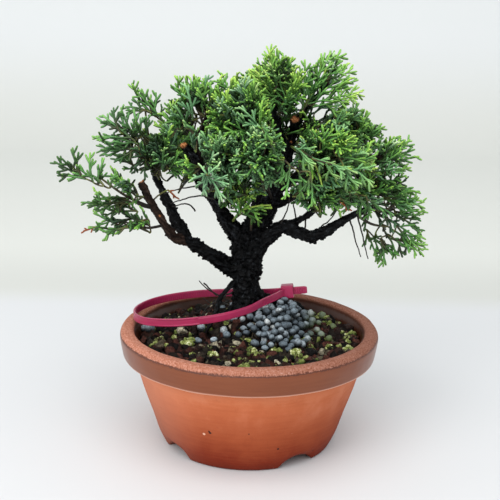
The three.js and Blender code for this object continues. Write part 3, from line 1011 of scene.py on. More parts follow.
def tube_tree() -> Tree:
    """Build the tree that makes tubes along strings of edges, as thick as their points say.

    Returns:
        The tree, with the input Sides.
    """
    tree, given = start_tree("tubes", {"Sides": "Int"})
    add = partial(add_node, tree)
    curve = add("GeometryNodeMeshToCurve", given["Geometry"])
    curve = add("STORE", curve, Name="along", Value=add("GeometryNodeSplineParameter", out="Length"))
    ring = add("GeometryNodeCurvePrimitiveCircle", Resolution=given["Sides"], Radius=1)
    turn = add("DIVIDE", add("GeometryNodeInputIndex"), given["Sides"])
    ring = add("STORE", ring, Name="around", Value=add("MULTIPLY", turn, 2 * math.pi))
    thickness = add("NUMBER", "thickness")
    tubes = add("GeometryNodeCurveToMesh", curve, Profile_Curve=ring, Scale=thickness, Fill_Caps=True)
    smooth = add("GeometryNodeSetShadeSmooth", tubes)
    return end_tree(tree, smooth, given["Material"])


def planting_tree() -> Tree:
    """Build the tree that sets one of several shapes on each point, turned and sized as stored.

    Returns:
        The tree, with the input Shapes. Each point holds kind, facing and size.
    """
    tree, given = start_tree("planting", {"Shapes": "Collection"})
    add = partial(add_node, tree)
    shapes = add(
        "GeometryNodeCollectionInfo", given["Shapes"], Separate_Children=True, Reset_Children=True
    )
    kind = add("COUNT", "kind")
    facing = add("VECTOR", "facing")
    size = add("NUMBER", "size")
    rotation = add("FunctionNodeEulerToRotation", facing)
    planted = add(
        "GeometryNodeInstanceOnPoints", given["Geometry"], Instance=shapes, Pick_Instance=True,
        Instance_Index=kind, Rotation=rotation, Scale=size
    )
    return end_tree(tree, planted, given["Material"])


def scatter_tree() -> Tree:
    """Build the tree that strews shapes over the upward faces of a bed.

    Returns:
        The tree, with the inputs Shapes, Density, Reach, Smallest, Largest and Seed.
    """
    sizes = dict.fromkeys(("Density", "Reach", "Smallest", "Largest"), "Float")
    tree, given = start_tree("scatter", {"Shapes": "Collection", **sizes, "Seed": "Int"})
    add = partial(add_node, tree)
    upward = add("ABOVE", add("SPLIT", add("GeometryNodeInputNormal"), out="Z"), 0.4)
    away = add("LENGTH", add("STRETCH", add("GeometryNodeInputPosition"), (1, 1, 0)))
    chosen = add("BOTH", upward, add("BELOW", away, given["Reach"]))
    points = add(
        "GeometryNodeDistributePointsOnFaces", given["Geometry"], Selection=chosen,
        Density=given["Density"], Seed=given["Seed"]
    )
    shapes = add(
        "GeometryNodeCollectionInfo", given["Shapes"], Separate_Children=True, Reset_Children=True
    )
    lift = add("JOIN", Z=add("RANDOM", -0.9, 1, Seed=5))
    points = add("GeometryNodeSetPosition", points, Offset=lift)
    full_turn = (2 * math.pi,) * 3
    rotation = add("FunctionNodeEulerToRotation", add("RANDOM_VECTOR", (0, 0, 0), full_turn, Seed=1))
    size = add("RANDOM", given["Smallest"], given["Largest"], Seed=2)
    pick = add("RANDOM_COUNT", 0, 5, Seed=3)
    strewn = add(
        "GeometryNodeInstanceOnPoints", points, Instance=shapes, Pick_Instance=True, Instance_Index=pick,
        Rotation=rotation, Scale=size
    )
    tinted = add("STORE_EACH", strewn, Name="tint", Value=add("RANDOM", 0, 1, Seed=4))
    return end_tree(tree, tinted, given["Material"])


def turning_tree() -> Tree:
    """Build the tree that turns an outline about Z into a closed shell, as on a wheel.

    Four arches are cut in the foot ring by lifting its underside, and the clay is a little uneven.

    Returns:
        The tree, with the inputs Sides, Notch width, Notch height, Notch turn, Foot height,
        Recess radius, Recess depth and Unevenness.
    """
    foot = ("Notch width", "Notch height", "Notch turn", "Foot height", "Recess radius", "Recess depth")
    sizes = dict.fromkeys((*foot, "Unevenness"), "Float")
    tree, given = start_tree("turning", {"Sides": "Int", **sizes})
    add = partial(add_node, tree)
    count = add("GeometryNodeAttributeDomainSize", given["Geometry"], component="MESH")
    grid = add("GeometryNodeMeshGrid", Vertices_X=add("ADD", given["Sides"], 1), Vertices_Y=count)
    number = add("GeometryNodeInputIndex")
    row = add("FLOORED_MODULO", number, count)
    column = add("FLOOR", add("DIVIDE", add("ADD", number, 0.5), count))
    outline = add(
        "GeometryNodeSampleIndex", given["Geometry"], Value=add("GeometryNodeInputPosition"), Index=row,
        data_type="FLOAT_VECTOR", domain="POINT"
    )
    parts = add("SPLIT", outline).node.outputs
    radius, height = parts["X"], parts["Z"]
    angle = add("MULTIPLY", column, add("DIVIDE", 2 * math.pi, given["Sides"]))

    quarter = math.pi / 2
    nearest = add("WRAP", add("SUBTRACT", angle, given["Notch turn"]), quarter / 2, -quarter / 2)
    across = add("MULTIPLY", radius, add("SINE", nearest))
    half = add("MULTIPLY", given["Notch width"], 0.5)
    tall = given["Notch height"]
    squares = add("ADD", add("MULTIPLY", half, half), add("MULTIPLY", tall, tall))
    arch = add("DIVIDE", squares, add("MULTIPLY", tall, 2))
    inside = add("SUBTRACT", add("MULTIPLY", arch, arch), add("MULTIPLY", across, across))
    rise = add("SQRT", add("MAXIMUM", inside, 0))
    lift = add("MAXIMUM", add("SUBTRACT", rise, add("SUBTRACT", arch, tall)), 0)
    in_recess = add("LESS_THAN", radius, given["Recess radius"])
    deep = add("SUBTRACT", given["Foot height"], given["Recess depth"])
    level = add("SUBTRACT", given["Foot height"], add("MULTIPLY", in_recess, deep))
    below = add("MAXIMUM", add("SUBTRACT", 1, add("DIVIDE", height, level)), 0)
    raised = add("MULTIPLY_ADD", lift, below, height)

    x = add("MULTIPLY", radius, add("SINE", angle))
    y = add("MULTIPLY", radius, add("MULTIPLY", add("COSINE", angle), -1))
    shell = add("GeometryNodeSetPosition", grid, Position=add("JOIN", X=x, Y=y, Z=raised))
    closed = add("GeometryNodeMergeByDistance", shell, Distance=0.001)
    place = add("GeometryNodeInputPosition")
    wobble = add("SWELL", place, 1 / 24, 2)
    steady = add("EASE", add("SPLIT", place, out="Z"), 2, 12)
    amount = add("MULTIPLY", add("MULTIPLY", wobble, steady), given["Unevenness"])
    push = add("SCALE", add("GeometryNodeInputNormal"), amount)
    smooth = add("GeometryNodeSetShadeSmooth", add("GeometryNodeSetPosition", closed, Offset=push))
    return end_tree(tree, smooth, given["Material"])


def bark_tree() -> Tree:
    """Build the tree that raises flaking bark on limbs, in strips that run along them.

    Returns:
        The tree, with the inputs Depth, Strip and Flake.
    """
    tree, given = start_tree("bark", dict.fromkeys(("Depth", "Strip", "Flake"), "Float"))
    add = partial(add_node, tree)
    run = add("VECTOR", "bark_place")
    girth = add("NUMBER", "girth")
    strip_rate = add("DIVIDE", 1, given["Strip"])
    flake_rate = add("DIVIDE", 1, given["Flake"])
    strip = add("SWELL", run, strip_rate, 3)
    ridge = add("MULTIPLY_ADD", add("CELLS", run, flake_rate), -1.1, 0.45)
    relief = add("MULTIPLY_ADD", strip, 1.5, ridge)
    relief = add("MULTIPLY_ADD", add("SWELL", add("GeometryNodeInputPosition"), 0.7, 2), 0.8, relief)
    depth = add("MULTIPLY", add("RANGE", girth, 0.8, 8, 0.18, 1), given["Depth"])
    push = add("SCALE", add("GeometryNodeInputNormal"), add("MULTIPLY", depth, relief))
    rough = add("GeometryNodeSetPosition", given["Geometry"], Offset=push)
    smooth = add("GeometryNodeSetShadeSmooth", rough)
    return end_tree(tree, smooth, given["Material"])


# ---- Small shapes that repeat ----


class Lump(Enum):
    """The kinds of small shape that are strewn or piled, and how deeply each is dented."""

    CRUMB = 1.0
    PRILL = 0.25
    NUB = 0.35


@dataclass(frozen=True)
class LumpSet:
    """Several variants of one small shape, of about unit radius."""

    kind: Lump
    count: int
    seed: int

    def build(self) -> bpy.types.Collection:
        """Make the variants.

        Returns:
            A collection of them, outside the scene.
        """
        rng = np.random.default_rng(self.seed)
        folder = bpy.data.collections.new(f"{self.kind.name.lower()}_shapes")
        for i in range(self.count):
            shape = bmesh.new()
            self._ball(shape, rng, self.kind.value)
            mesh = bpy.data.meshes.new(f"{self.kind.name.lower()}_{i}")
            shape.to_mesh(mesh)
            shape.free()
            mesh.polygons.foreach_set("use_smooth", [True] * len(mesh.polygons))
            folder.objects.link(bpy.data.objects.new(mesh.name, mesh))
        return folder

    def _ball(self, shape: bmesh.types.BMesh, rng: Rng, bumps: float) -> None:
        """Fill a shape with a ball that is dented by noise.

        Args:
            shape: The empty shape.
            rng: The set's random numbers.
            bumps: How deeply it is dented.
        """
        bmesh.ops.create_icosphere(shape, subdivisions=2, radius=1.0)
        flat = 0.12 + 0.2 * bumps
        squash = Vector(rng.uniform(1 - flat, 1 + flat, 3))
        shift = Vector(rng.uniform(-50, 50, 3))
        for vertex in shape.verts:
            dent = 1 + bumps * noise.noise(vertex.co * 1.5 + shift)
            vertex.co = Vector(a * b * dent for a, b in zip(vertex.co, squash))


def discard(folder: bpy.types.Collection) -> None:
    """Remove a collection of shapes.

    Args:
        folder: The collection.
    """
    for made in list(folder.objects):
        bpy.data.objects.remove(made)
    bpy.data.collections.remove(folder)


# ---- Pot ----


@dataclass
class Pot:
    """The terracotta bowl, with the corners of its section as radius, height and fillet."""

    sides: int = 320
    notch_width: float = 24.0
    notch_height: float = 5.8
    notch_turn: float = -55.0
    foot_height: float = 9.0
    recess_radius: float = 44.0
    recess_depth: float = 7.0
    unevenness: float = 0.28
    corners: Triples = (
        (11, 7, 0.8), (39.6, 7, 1.6), (41, 0, 1.2), (48.9, 0, 1.6), (51, 4, 3), (53.2, 9, 6),
        (57.3, 22, 8), (61.7, 34, 8), (67.2, 53.1, 0.7), (73.1, 53, 1.2), (74.3, 59, 4), (75.1, 65.6, 3),
        (73.2, 68.9, 3.4), (67.6, 68.9, 3.4), (66, 65, 3), (64, 60.5, 4), (60.5, 48, 6), (51.6, 24, 6),
        (45.5, 13, 6), (11, 13, 0.8)
    )

    def build(self) -> None:
        """Turn the pot and dress the drain screen and staple inside it."""
        finish = FiredTerracotta()
        outline = new_object("pot_shell", rounded_outline(self.corners))
        sizes = {
            "Sides": self.sides, "Notch width": self.notch_width, "Notch height": self.notch_height,
            "Notch turn": math.radians(self.notch_turn), "Foot height": self.foot_height,
            "Recess radius": self.recess_radius, "Recess depth": self.recess_depth,
            "Unevenness": self.unevenness, "Material": finish.material()
        }
        finished(grown(outline, turning_tree(), sizes), finish, "pot")
        for node, dress in (("drain_screen", ExtrudedPlastic()), ("screen_staple", DrawnAluminium())):
            solid = frame["nodes"][node]
            solid.data.materials.clear()
            solid.data.materials.append(dress.material())
            LOG.info("%s: the frame's own solid in %s", node, dress.name)


# ---- Soil ----

SOIL_EDGE = 60.5  # height of the soil at the pot's wall
MOUND = 11.5  # how much higher it is at the trunk
MOUND_REACH = 25.0
LEVEL_FROM, LEVEL_WIDTH = 53, 10.4  # the ring that levels out to the wall
TRUNK_FOOT = (-1.6, 18)


def soil_height(x: float, y: float) -> float:
    """Give the height of the soil's surface.

    Args:
        x: Across the pot.
        y: From the front to the back.

    Returns:
        The height, level at the pot's wall and mounded round the trunk.
    """
    away = math.dist((x, y), TRUNK_FOOT) / MOUND_REACH
    mound = SOIL_EDGE + MOUND * math.exp(-away * away)
    mound += 0.5 * math.sin(x / 7) * math.cos(y / 6)
    share = min(max((math.hypot(x, y) - LEVEL_FROM) / LEVEL_WIDTH, 0), 1)
    edge = share * share * (3 - 2 * share)
    return mound * (1 - edge) + SOIL_EDGE * edge


@dataclass
class SoilBed:
    """The mounded soil: a solid bed that fills the bowl, and the loose crumbs on top of it."""

    sides: int = 120
    crumb_size: tuple[float, float] = (1.5, 3.5)
    density: float = 0.12
    reach: float = 60.6
    clod: float = 0.7  # how uneven the bed is
    seed: int = 5
    wall: Triples = (
        (0, 15.8, 0), (44.2, 13.4, 0), (47.6, 16.2, 0), (51.2, 24.1, 0), (60.1, 48, 0), (63.4, 60.2, 0)
    )

    def build(self) -> None:
        """Make the bed and strew it with crumbs."""
        finish = BakedSoil()
        top = [(r, SOIL_EDGE, 0) for r in np.linspace(62.0, 0, 32)]
        outline = rounded_outline((*self.wall, *top))[:-1]
        sizes = {"Sides": self.sides, "Notch height": 0.001, "Notch width": 0.001}
        sizes |= {"Foot height": 1.0, "Material": finish.material()}
        bed = grown(new_object("soil_bed", outline), turning_tree(), sizes)
        points = vertices_of(bed.data)
        for i, (x, y, z) in enumerate(points):
            if z > SOIL_EDGE - 0.2:
                points[i, 2] = soil_height(x, y) + noise.noise(Vector((x / 4, y / 4, 0))) * self.clod
        bed.data.vertices.foreach_set("co", points.astype(np.float32).ravel())
        bed.data.update()
        store(bed.data, "tint", np.full(len(points), 0.1))
        crumbs = linked("soil_crumbs", bed.data.copy())
        shapes = LumpSet(Lump.CRUMB, 6, self.seed).build()
        sizes = {
            "Shapes": shapes, "Density": self.density, "Reach": self.reach,
            "Smallest": self.crumb_size[0], "Largest": self.crumb_size[1], "Seed": self.seed,
            "Material": finish.material()
        }
        crumbs.data.attributes.remove(crumbs.data.attributes["tint"])
        grown(crumbs, scatter_tree(), sizes)
        discard(shapes)
        finished(bed, finish, "soil")
        finished(crumbs, finish, "soil")


@dataclass
class PrillHeap:
    """The slow-release fertiliser: prills poured in a heap to the right of the trunk."""

    radius: float = 2.25
    count: int = 200
    seed: int = 11
    lift: float = 2.0  # how far the crumbs hold a prill off the bed
    trunk_clearance: float = 11.0
    middle: tuple[float, float] = (15, 10)
    spread: tuple[float, float] = (14, 19)
    edge: Pairs = (
        (4, 44), (10, 47), (18, 49), (27, 49), (32, 40), (37, 26), (39, 10), (37, -5), (32, -14),
        (25, -21), (12, -21), (4, -18), (-4, -15), (-10, -8), (-14, 1), (-11, 7), (0, 12), (2, 28)
    )
    loose: Pairs = (
        (-28, 0), (-29, -16), (-20, -17), (-16, 19), (-10, 18), (9, -27), (22, -28), (-13, -12), (-17, 6),
        (30, -20), (42, -2), (46, -8), (-62, 5), (-58, 3), (-59, -1), (45, 34), (50, 14)
    )

    def build(self) -> None:
        """Pour the prills and dress them."""
        finish = CoatedPrill()
        places = self._poured()
        rng = np.random.default_rng(self.seed + 1)
        values = {
            "kind": rng.integers(0, 5, len(places)).astype(np.int32),
            "facing": rng.uniform(0, 2 * math.pi, (len(places), 3)),
            "size": self.radius * rng.uniform(0.86, 1.1, len(places)),
            "tint": rng.uniform(0, 1, len(places)) ** 1.3
        }
        heap = new_object("fertiliser_prills", places, values=values)
        shapes = LumpSet(Lump.PRILL, 5, self.seed).build()
        grown(heap, planting_tree(), {"Shapes": shapes, "Material": finish.material()})
        discard(shapes)
        finished(heap, finish, "fertiliser_heap")

    def _poured(self) -> np.ndarray:
        """Let each prill roll down to where it rests.

        Returns:
            The prills' centres.
        """
        rng = np.random.default_rng(self.seed)
        placed = np.zeros((0, 3))
        for place in self.loose:
            placed = np.vstack([placed, [*place, self._rest(placed, *place)]])
        while len(placed) < self.count:
            x, y = rng.normal(self.middle, self.spread)
            if not inside_outline(np.array([[x, y]]), self.edge)[0]:
                continue
            if math.dist((x, y), TRUNK_FOOT) < self.trunk_clearance:
                continue
            for step in (2.4, 1.2, 0.6, 0.3):
                turns = np.arange(8) * math.pi / 4
                ring = [(x + step * math.cos(a), y + step * math.sin(a)) for a in turns]
                x, y = min([(x, y), *ring], key=lambda at: self._rest(placed, *at))
            placed = np.vstack([placed, [x, y, self._rest(placed, x, y)]])
        return placed

    def _rest(self, placed: np.ndarray, x: float, y: float) -> float:
        """Find how high a prill lies on the soil and on other prills.

        Args:
            placed: Those prills' centres.
            x: Across the pot.
            y: From the front to the back.

        Returns:
            The height of its centre.
        """
        floor = soil_height(x, y) + self.lift + 0.7 * self.radius
        away = (placed[:, 0] - x) ** 2 + (placed[:, 1] - y) ** 2
        near = away < (2 * self.radius) ** 2
        if not near.any():
            return floor
        stacked = placed[near, 2] + np.sqrt((2 * self.radius) ** 2 - away[near]) * 0.97
        return max(floor, float(stacked.max()))


@dataclass
class MossTufts:
    """Mossy crumbs that stand on the soil: x, y and radius of each tuft."""

    seed: int = 21
    lumps: int = 15  # in each tuft
    lump: float = 0.3  # a lump's radius, as a share of its tuft's
    spread: float = 0.62  # how far out lumps lie, as a share of the tuft's radius
    dome: float = 0.75  # the tuft's height, as a share of its radius
    stray_lumps: int = 4  # at each stray place
    places: Triples = (
        (-35, -18, 5.6), (-20, -35, 3.8), (2, -33, 5.2), (14, -28, 3.4), (26, -32, 4.6), (46, -19, 3.4)
    )
    strays: Pairs = (
        (-43, -8), (-10, -26), (-1, -14), (11, -39), (32, -9), (42, -3), (55, -18), (58, -8), (-14, 3),
        (-46, -22), (-50, -9), (28, 54), (41, 34), (46, 24), (54, 16), (49, 4), (57, 3), (-31, -36),
        (37, -38), (6, -44), (-6, -41), (19, -41)
    )

    def build(self) -> None:
        """Make each tuft a clump of knobbly lumps, with stray lumps beside the nearest."""
        finish = MossyCrumb()
        rng = np.random.default_rng(self.seed)
        shapes = LumpSet(Lump.NUB, 5, self.seed).build()
        near = {i: [] for i in range(len(self.places))}
        for stray in self.strays:
            gaps = [math.hypot(stray[0] - x, stray[1] - y) for x, y, _ in self.places]
            near[int(np.argmin(gaps))].append(stray)
        for i, (x, y, radius) in enumerate(self.places):
            lumps = []
            for _ in range(self.lumps):
                turn, out = rng.uniform(0, 2 * math.pi), radius * self.spread * math.sqrt(rng.uniform())
                dome = self.dome * radius * math.sqrt(max(0, 1 - (out / radius) ** 2))
                rise = 1.2 + dome * rng.uniform(0.1, 0.9)
                lumps.append(
                    (x + out * math.cos(turn), y + out * math.sin(turn), rise, radius * self.lump)
                )
            for sx, sy in near[i]:
                for _ in range(self.stray_lumps):
                    dx, dy = rng.normal(0, 0.9, 2)
                    lumps.append((sx + dx, sy + dy, rng.uniform(1.2, 2.4), rng.uniform(0.9, 1.5)))
            rows = np.array(lumps)
            heights = [soil_height(a, b) + c for a, b, c, _ in lumps]
            values = {
                "kind": rng.integers(0, 5, len(rows)).astype(np.int32),
                "facing": rng.uniform(0, 2 * math.pi, (len(rows), 3)),
                "size": rows[:, 3] * rng.uniform(0.8, 1.2, len(rows)),
                "tint": rng.uniform(0, 1, len(rows))
            }
            points = np.column_stack([rows[:, :2], heights])
            tuft = new_object(f"moss_{i + 1}", points, values=values)
            grown(tuft, planting_tree(), {"Shapes": shapes, "Material": finish.material()})
            finished(tuft, finish, f"moss_tuft_{i + 1}")
        discard(shapes)


# ---- Wood ----

# Stations along each limb: x, y, z and radius.
LIMBS: dict[str, tuple[tuple[float, float, float, float], ...]] = {
    "trunk": (
        (-1.6, 18, 52, 8), (-1.6, 18, 66, 10.5), (-1.7, 18, 74, 9.8), (-2, 18, 80, 8.2),
        (-2.4, 18, 88, 7.6), (-2.6, 18, 97, 8.2), (-2.1, 18, 106, 8.8), (-2.9, 18, 113.5, 9),
        (-4.4, 18, 120, 7.6)
    ),
    "left_limb": (
        (-3.4, 18, 94, 6), (-13.2, 15, 100.2, 4.9), (-23.7, 10, 108.6, 4), (-32.3, 7, 114.6, 3.7),
        (-37.4, 5, 118, 3.3)
    ),
    "left_outer_fork": (
        (-36.3, 6, 116.6, 2.8), (-44.1, 2, 120.4, 2.6), (-49.6, -1, 128.6, 2.4), (-55, -3, 138.3, 2.2),
        (-58.7, -5, 146.1, 2.1), (-61.9, -6, 153.6, 1.9)
    ),
    "left_inner_fork": (
        (-36.3, 6, 117.8, 3.4), (-42.8, 8, 127.9, 3.3), (-47.7, 11, 137.2, 2.8), (-52.4, 13, 145.5, 2.3),
        (-55.5, 15, 153.3, 2), (-58, 15, 166, 1.5)
    ),
    "centre_left_leader": (
        (-6.4, 18, 116.6, 5.5), (-13.6, 16, 126.6, 4.6), (-20, 13, 137.8, 3.5), (-24.1, 11, 147.6, 3),
        (-28.6, 9, 158.3, 2.6), (-33.1, 7, 166.1, 2.4), (-37.6, 5, 171.5, 2.1)
    ),
    "leader": (
        (-1.7, 18, 114, 7.5), (4, 19, 126.2, 6.2), (10.8, 21, 136.7, 5), (15.3, 23, 146.6, 4.3),
        (18, 25, 157.5, 3.7), (20.2, 26, 166.9, 3.3), (22.3, 27, 175, 3), (24.4, 28, 183.1, 2.7)
    ),
    "right_limb": (
        (1, 17, 105, 5), (7.6, 13, 116.4, 4.3), (17.9, 10, 125.8, 4), (26.5, 7, 123.5, 3.8),
        (34.5, 5, 121.7, 3.5), (42.9, 3, 125.3, 3), (51.2, 4, 130.4, 2.4), (60, 8, 134.5, 2),
        (70, 14, 137, 1.5)
    ),
    "right_fork": ((20.1, 9, 126.4, 2.2), (28, 6, 130.8, 2), (34.5, 3, 136.3, 1.7), (41.6, 0, 142, 1.3)),
    "leader_side_branch": (
        (10.8, 20, 135.7, 3.2), (20, 16, 140.3, 2.7), (28.9, 10, 146, 2.2), (38, 2, 153, 1.6),
        (44, -5, 162, 1.3)
    ),
    "back_left_branch": ((-7, 20, 118, 3.6), (-20, 32, 132, 3), (-33, 42, 147, 2.4), (-44, 48, 160, 1.7)),
    "back_branch": ((3, 22, 126, 3.8), (4, 38, 141, 3), (0, 50, 158, 2.3), (-4, 56, 172, 1.6)),
    "back_right_branch": ((14, 23, 144, 3), (28, 36, 151, 2.6), (42, 46, 158, 2.1), (52, 50, 167, 1.5)),
    "top_left_branch": ((-31, 8, 162, 2), (-31, 10, 173, 1.9), (-28, 12, 184, 1.5), (-24, 13, 193, 1.2)),
    "crown_branch": ((20, 26, 166, 2.4), (15, 24, 180, 2), (11, 20, 195, 1.6), (9, 17, 207, 1.2)),
    "crown_right_branch": (
        (23.5, 27.5, 180, 2.2), (29, 27, 189, 1.9), (36, 25, 199, 1.5), (42, 23, 207, 1.1)
    ),
    "right_high_branch": ((30, 37, 152, 2), (46, 30, 158, 1.8), (62, 22, 163, 1.5), (74, 16, 167, 1.2)),
    "right_surface_root": (
        (4, 17, 84, 3.1), (10, 17.5, 80.5, 2.6), (17, 20, 77, 2.1), (23.5, 23.8, 75.3, 1.9),
        (31, 26, 72.5, 1.6), (37, 27, 64, 1.2), (40, 27, 56, 0.9)
    ),
    "aerial_root": (
        (-8, 14, 91, 2), (-13, 9, 88, 1.5), (-17.5, 6, 83, 1.3), (-19, 3.5, 76, 1.3), (-23, 0, 69, 1.3),
        (-27, -3, 60, 1.2)
    )
}
YOUTH = {"left_outer_fork": 0.75, "right_high_branch": 0.35, "top_left_branch": 0.3}

# Sawn stubs: start, end and radius.
STUBS = (((23.8, 27.5, 180), (23.8, 19, 187), 2.7), ((-36.6, 5.5, 170), (-39, 3, 174), 1.9))

# Surface roots: compass angle, reach and radius.
ROOTS = ((200, 34, 4.4), (250, 27, 3.6), (310, 30, 4), (5, 32, 4.2), (65, 26, 3.8), (130, 30, 4))
# How a root falls away: the share of its reach, its height, and the share of its radius.
ROOT_COURSE = ((0.1, 76, 1), (0.36, 70.5, 0.85), (0.62, 65, 0.65), (0.85, 54, 0.45), (1, 42, 0.3))


@dataclass(frozen=True)
class Pad:
    """One pad of foliage: its middle, its half sizes, where its twig starts, and how it leans."""

    middle: Triple
    half: Triple
    start: Triple
    lean: Triple = (0, 0, 0.35)
    wax: float = 0.25
    fill: float = 1.0  # how densely the pad is filled behind the sprays at its edge
    young: float = 0.0  # how much more of its growth is new

    def twig(self) -> np.ndarray:
        """Give the twig that carries the pad, as the frame has it.

        Returns:
            x, y, z and radius of its stations.
        """
        start, middle = np.array(self.start, float), np.array(self.middle, float)
        sag = np.array([0, 0, 2.0])
        stations = [start, start + (middle - start) * 0.4 - sag, start + (middle - start) * 0.8]
        return np.column_stack([stations, [1.6, 1.3, 0.9]])


PADS = {
    "left_tip": Pad((-89, -38, 167), (16.5, 14, 9), (-55, -3, 138), (-0.5, 0, 0.25), 0.15, 0.08, -0.2),
    "left_shelf": Pad((-73, 0, 180), (18, 19, 15), (-56, 15, 156), (-0.35, 0, 0.35), 0.2, 0.12, -0.08),
    "left_crown": Pad((-62, 12, 199), (15, 16, 11), (-58, 15, 165), (-0.3, 0, 0.5), 0.2, 0, -0.38),
    "left_low": Pad((-73, -14, 150), (20, 18, 12), (-55, -3, 138), (-0.5, 0, 0.1), 0.2, 0.3, -0.15),
    "left_under": Pad((-71, -20, 133), (19, 14, 8), (-49, -1, 128), (-0.6, 0, 0), 0.2, 0.25),
    "left_inner": Pad((-50, 12, 172), (17, 21, 15), (-55, 15, 153), fill=0.42, young=-0.1),
    "upper_left": Pad(
        (-32, 14, 198), (18, 21, 17), (-28, 12, 184), (-0.15, 0, 0.7), fill=0.48, young=0.05
    ),
    "crown_front": Pad((-9, -6, 194), (19, 21, 19), (15, 24, 180), (-0.1, -0.2, 0.6), 0.3, 0.75, 0.15),
    "centre_front": Pad((-22, -20, 169), (20, 19, 16), (-28, 9, 158), (-0.1, -0.3, 0.3), 0.6, 0.85),
    "trunk_front": Pad((4, -24, 174), (15, 17, 18), (12, 20, 139), (0, -0.3, 0.2), 0.65, 0.95, -0.05),
    "centre_low": Pad((-7, -8, 150), (18, 16, 12), (4, 17, 127), (0, -0.3, 0), 0.3, 0.8, -0.1),
    "crown_top": Pad((12, 16, 214), (16, 19, 16), (11, 20, 195), (-0.2, 0, 0.8), 0.15, 0.2, 0.25),
    "crown_right": Pad((44, 22, 211), (20, 19, 16), (36, 25, 199), (0.35, 0, 0.7), 0.15, 0.1, 0.3),
    "right_upper": Pad((38, 28, 188), (22, 22, 15), (24, 28, 180), (0.3, 0, 0.4), fill=0.45, young=0.1),
    "right_front": Pad((46, -8, 171), (24, 21, 17), (38, 2, 153), (0.35, -0.3, 0.1), 0.3, 0.7, 0.15),
    "right_back": Pad((60, 40, 181), (20, 19, 15), (46, 30, 158), (0.3, 0.2, 0.3), fill=0.5),
    "right_tip": Pad((78, 22, 167), (17, 18, 14), (62, 22, 163), (0.6, 0, 0.4), 0.25, 0.25, 0.1),
    "right_low": Pad((77.8, 26, 144), (24, 21, 13), (60, 8, 134), (0.8, 0, -0.1), 0.25, 0.4, 0.05),
    "right_droop": Pad((86, 24, 122), (17.5, 15, 13), (60, 8, 134), (0.35, 0, -0.8), 0.25, 0.15, -0.22),
    "right_inner": Pad((42, -2, 149), (21, 18, 10), (34, 3, 136), (0.2, -0.2, -0.2), 0.4, 0.8, -0.15),
    "back_left": Pad((-46, 48, 168), (22, 19, 16), (-33, 42, 147), (-0.2, 0.3, 0.3)),
    "back": Pad((-5, 54, 178), (25, 18, 19), (0, 50, 158), (0, 0.3, 0.35), fill=1.25),
    "back_right": Pad((46, 54, 163), (22, 18, 13), (28, 36, 151), (0.2, 0.3, 0.2)),
    "back_crown": Pad((8, 44, 205), (22, 17, 15), (15, 24, 180), (0, 0.2, 0.5)),
    "trunk_sprig": Pad((0, 3, 136), (14, 7, 5), (0, 15, 120), (0, -0.2, 0.2), 0.1, 0.3)
}


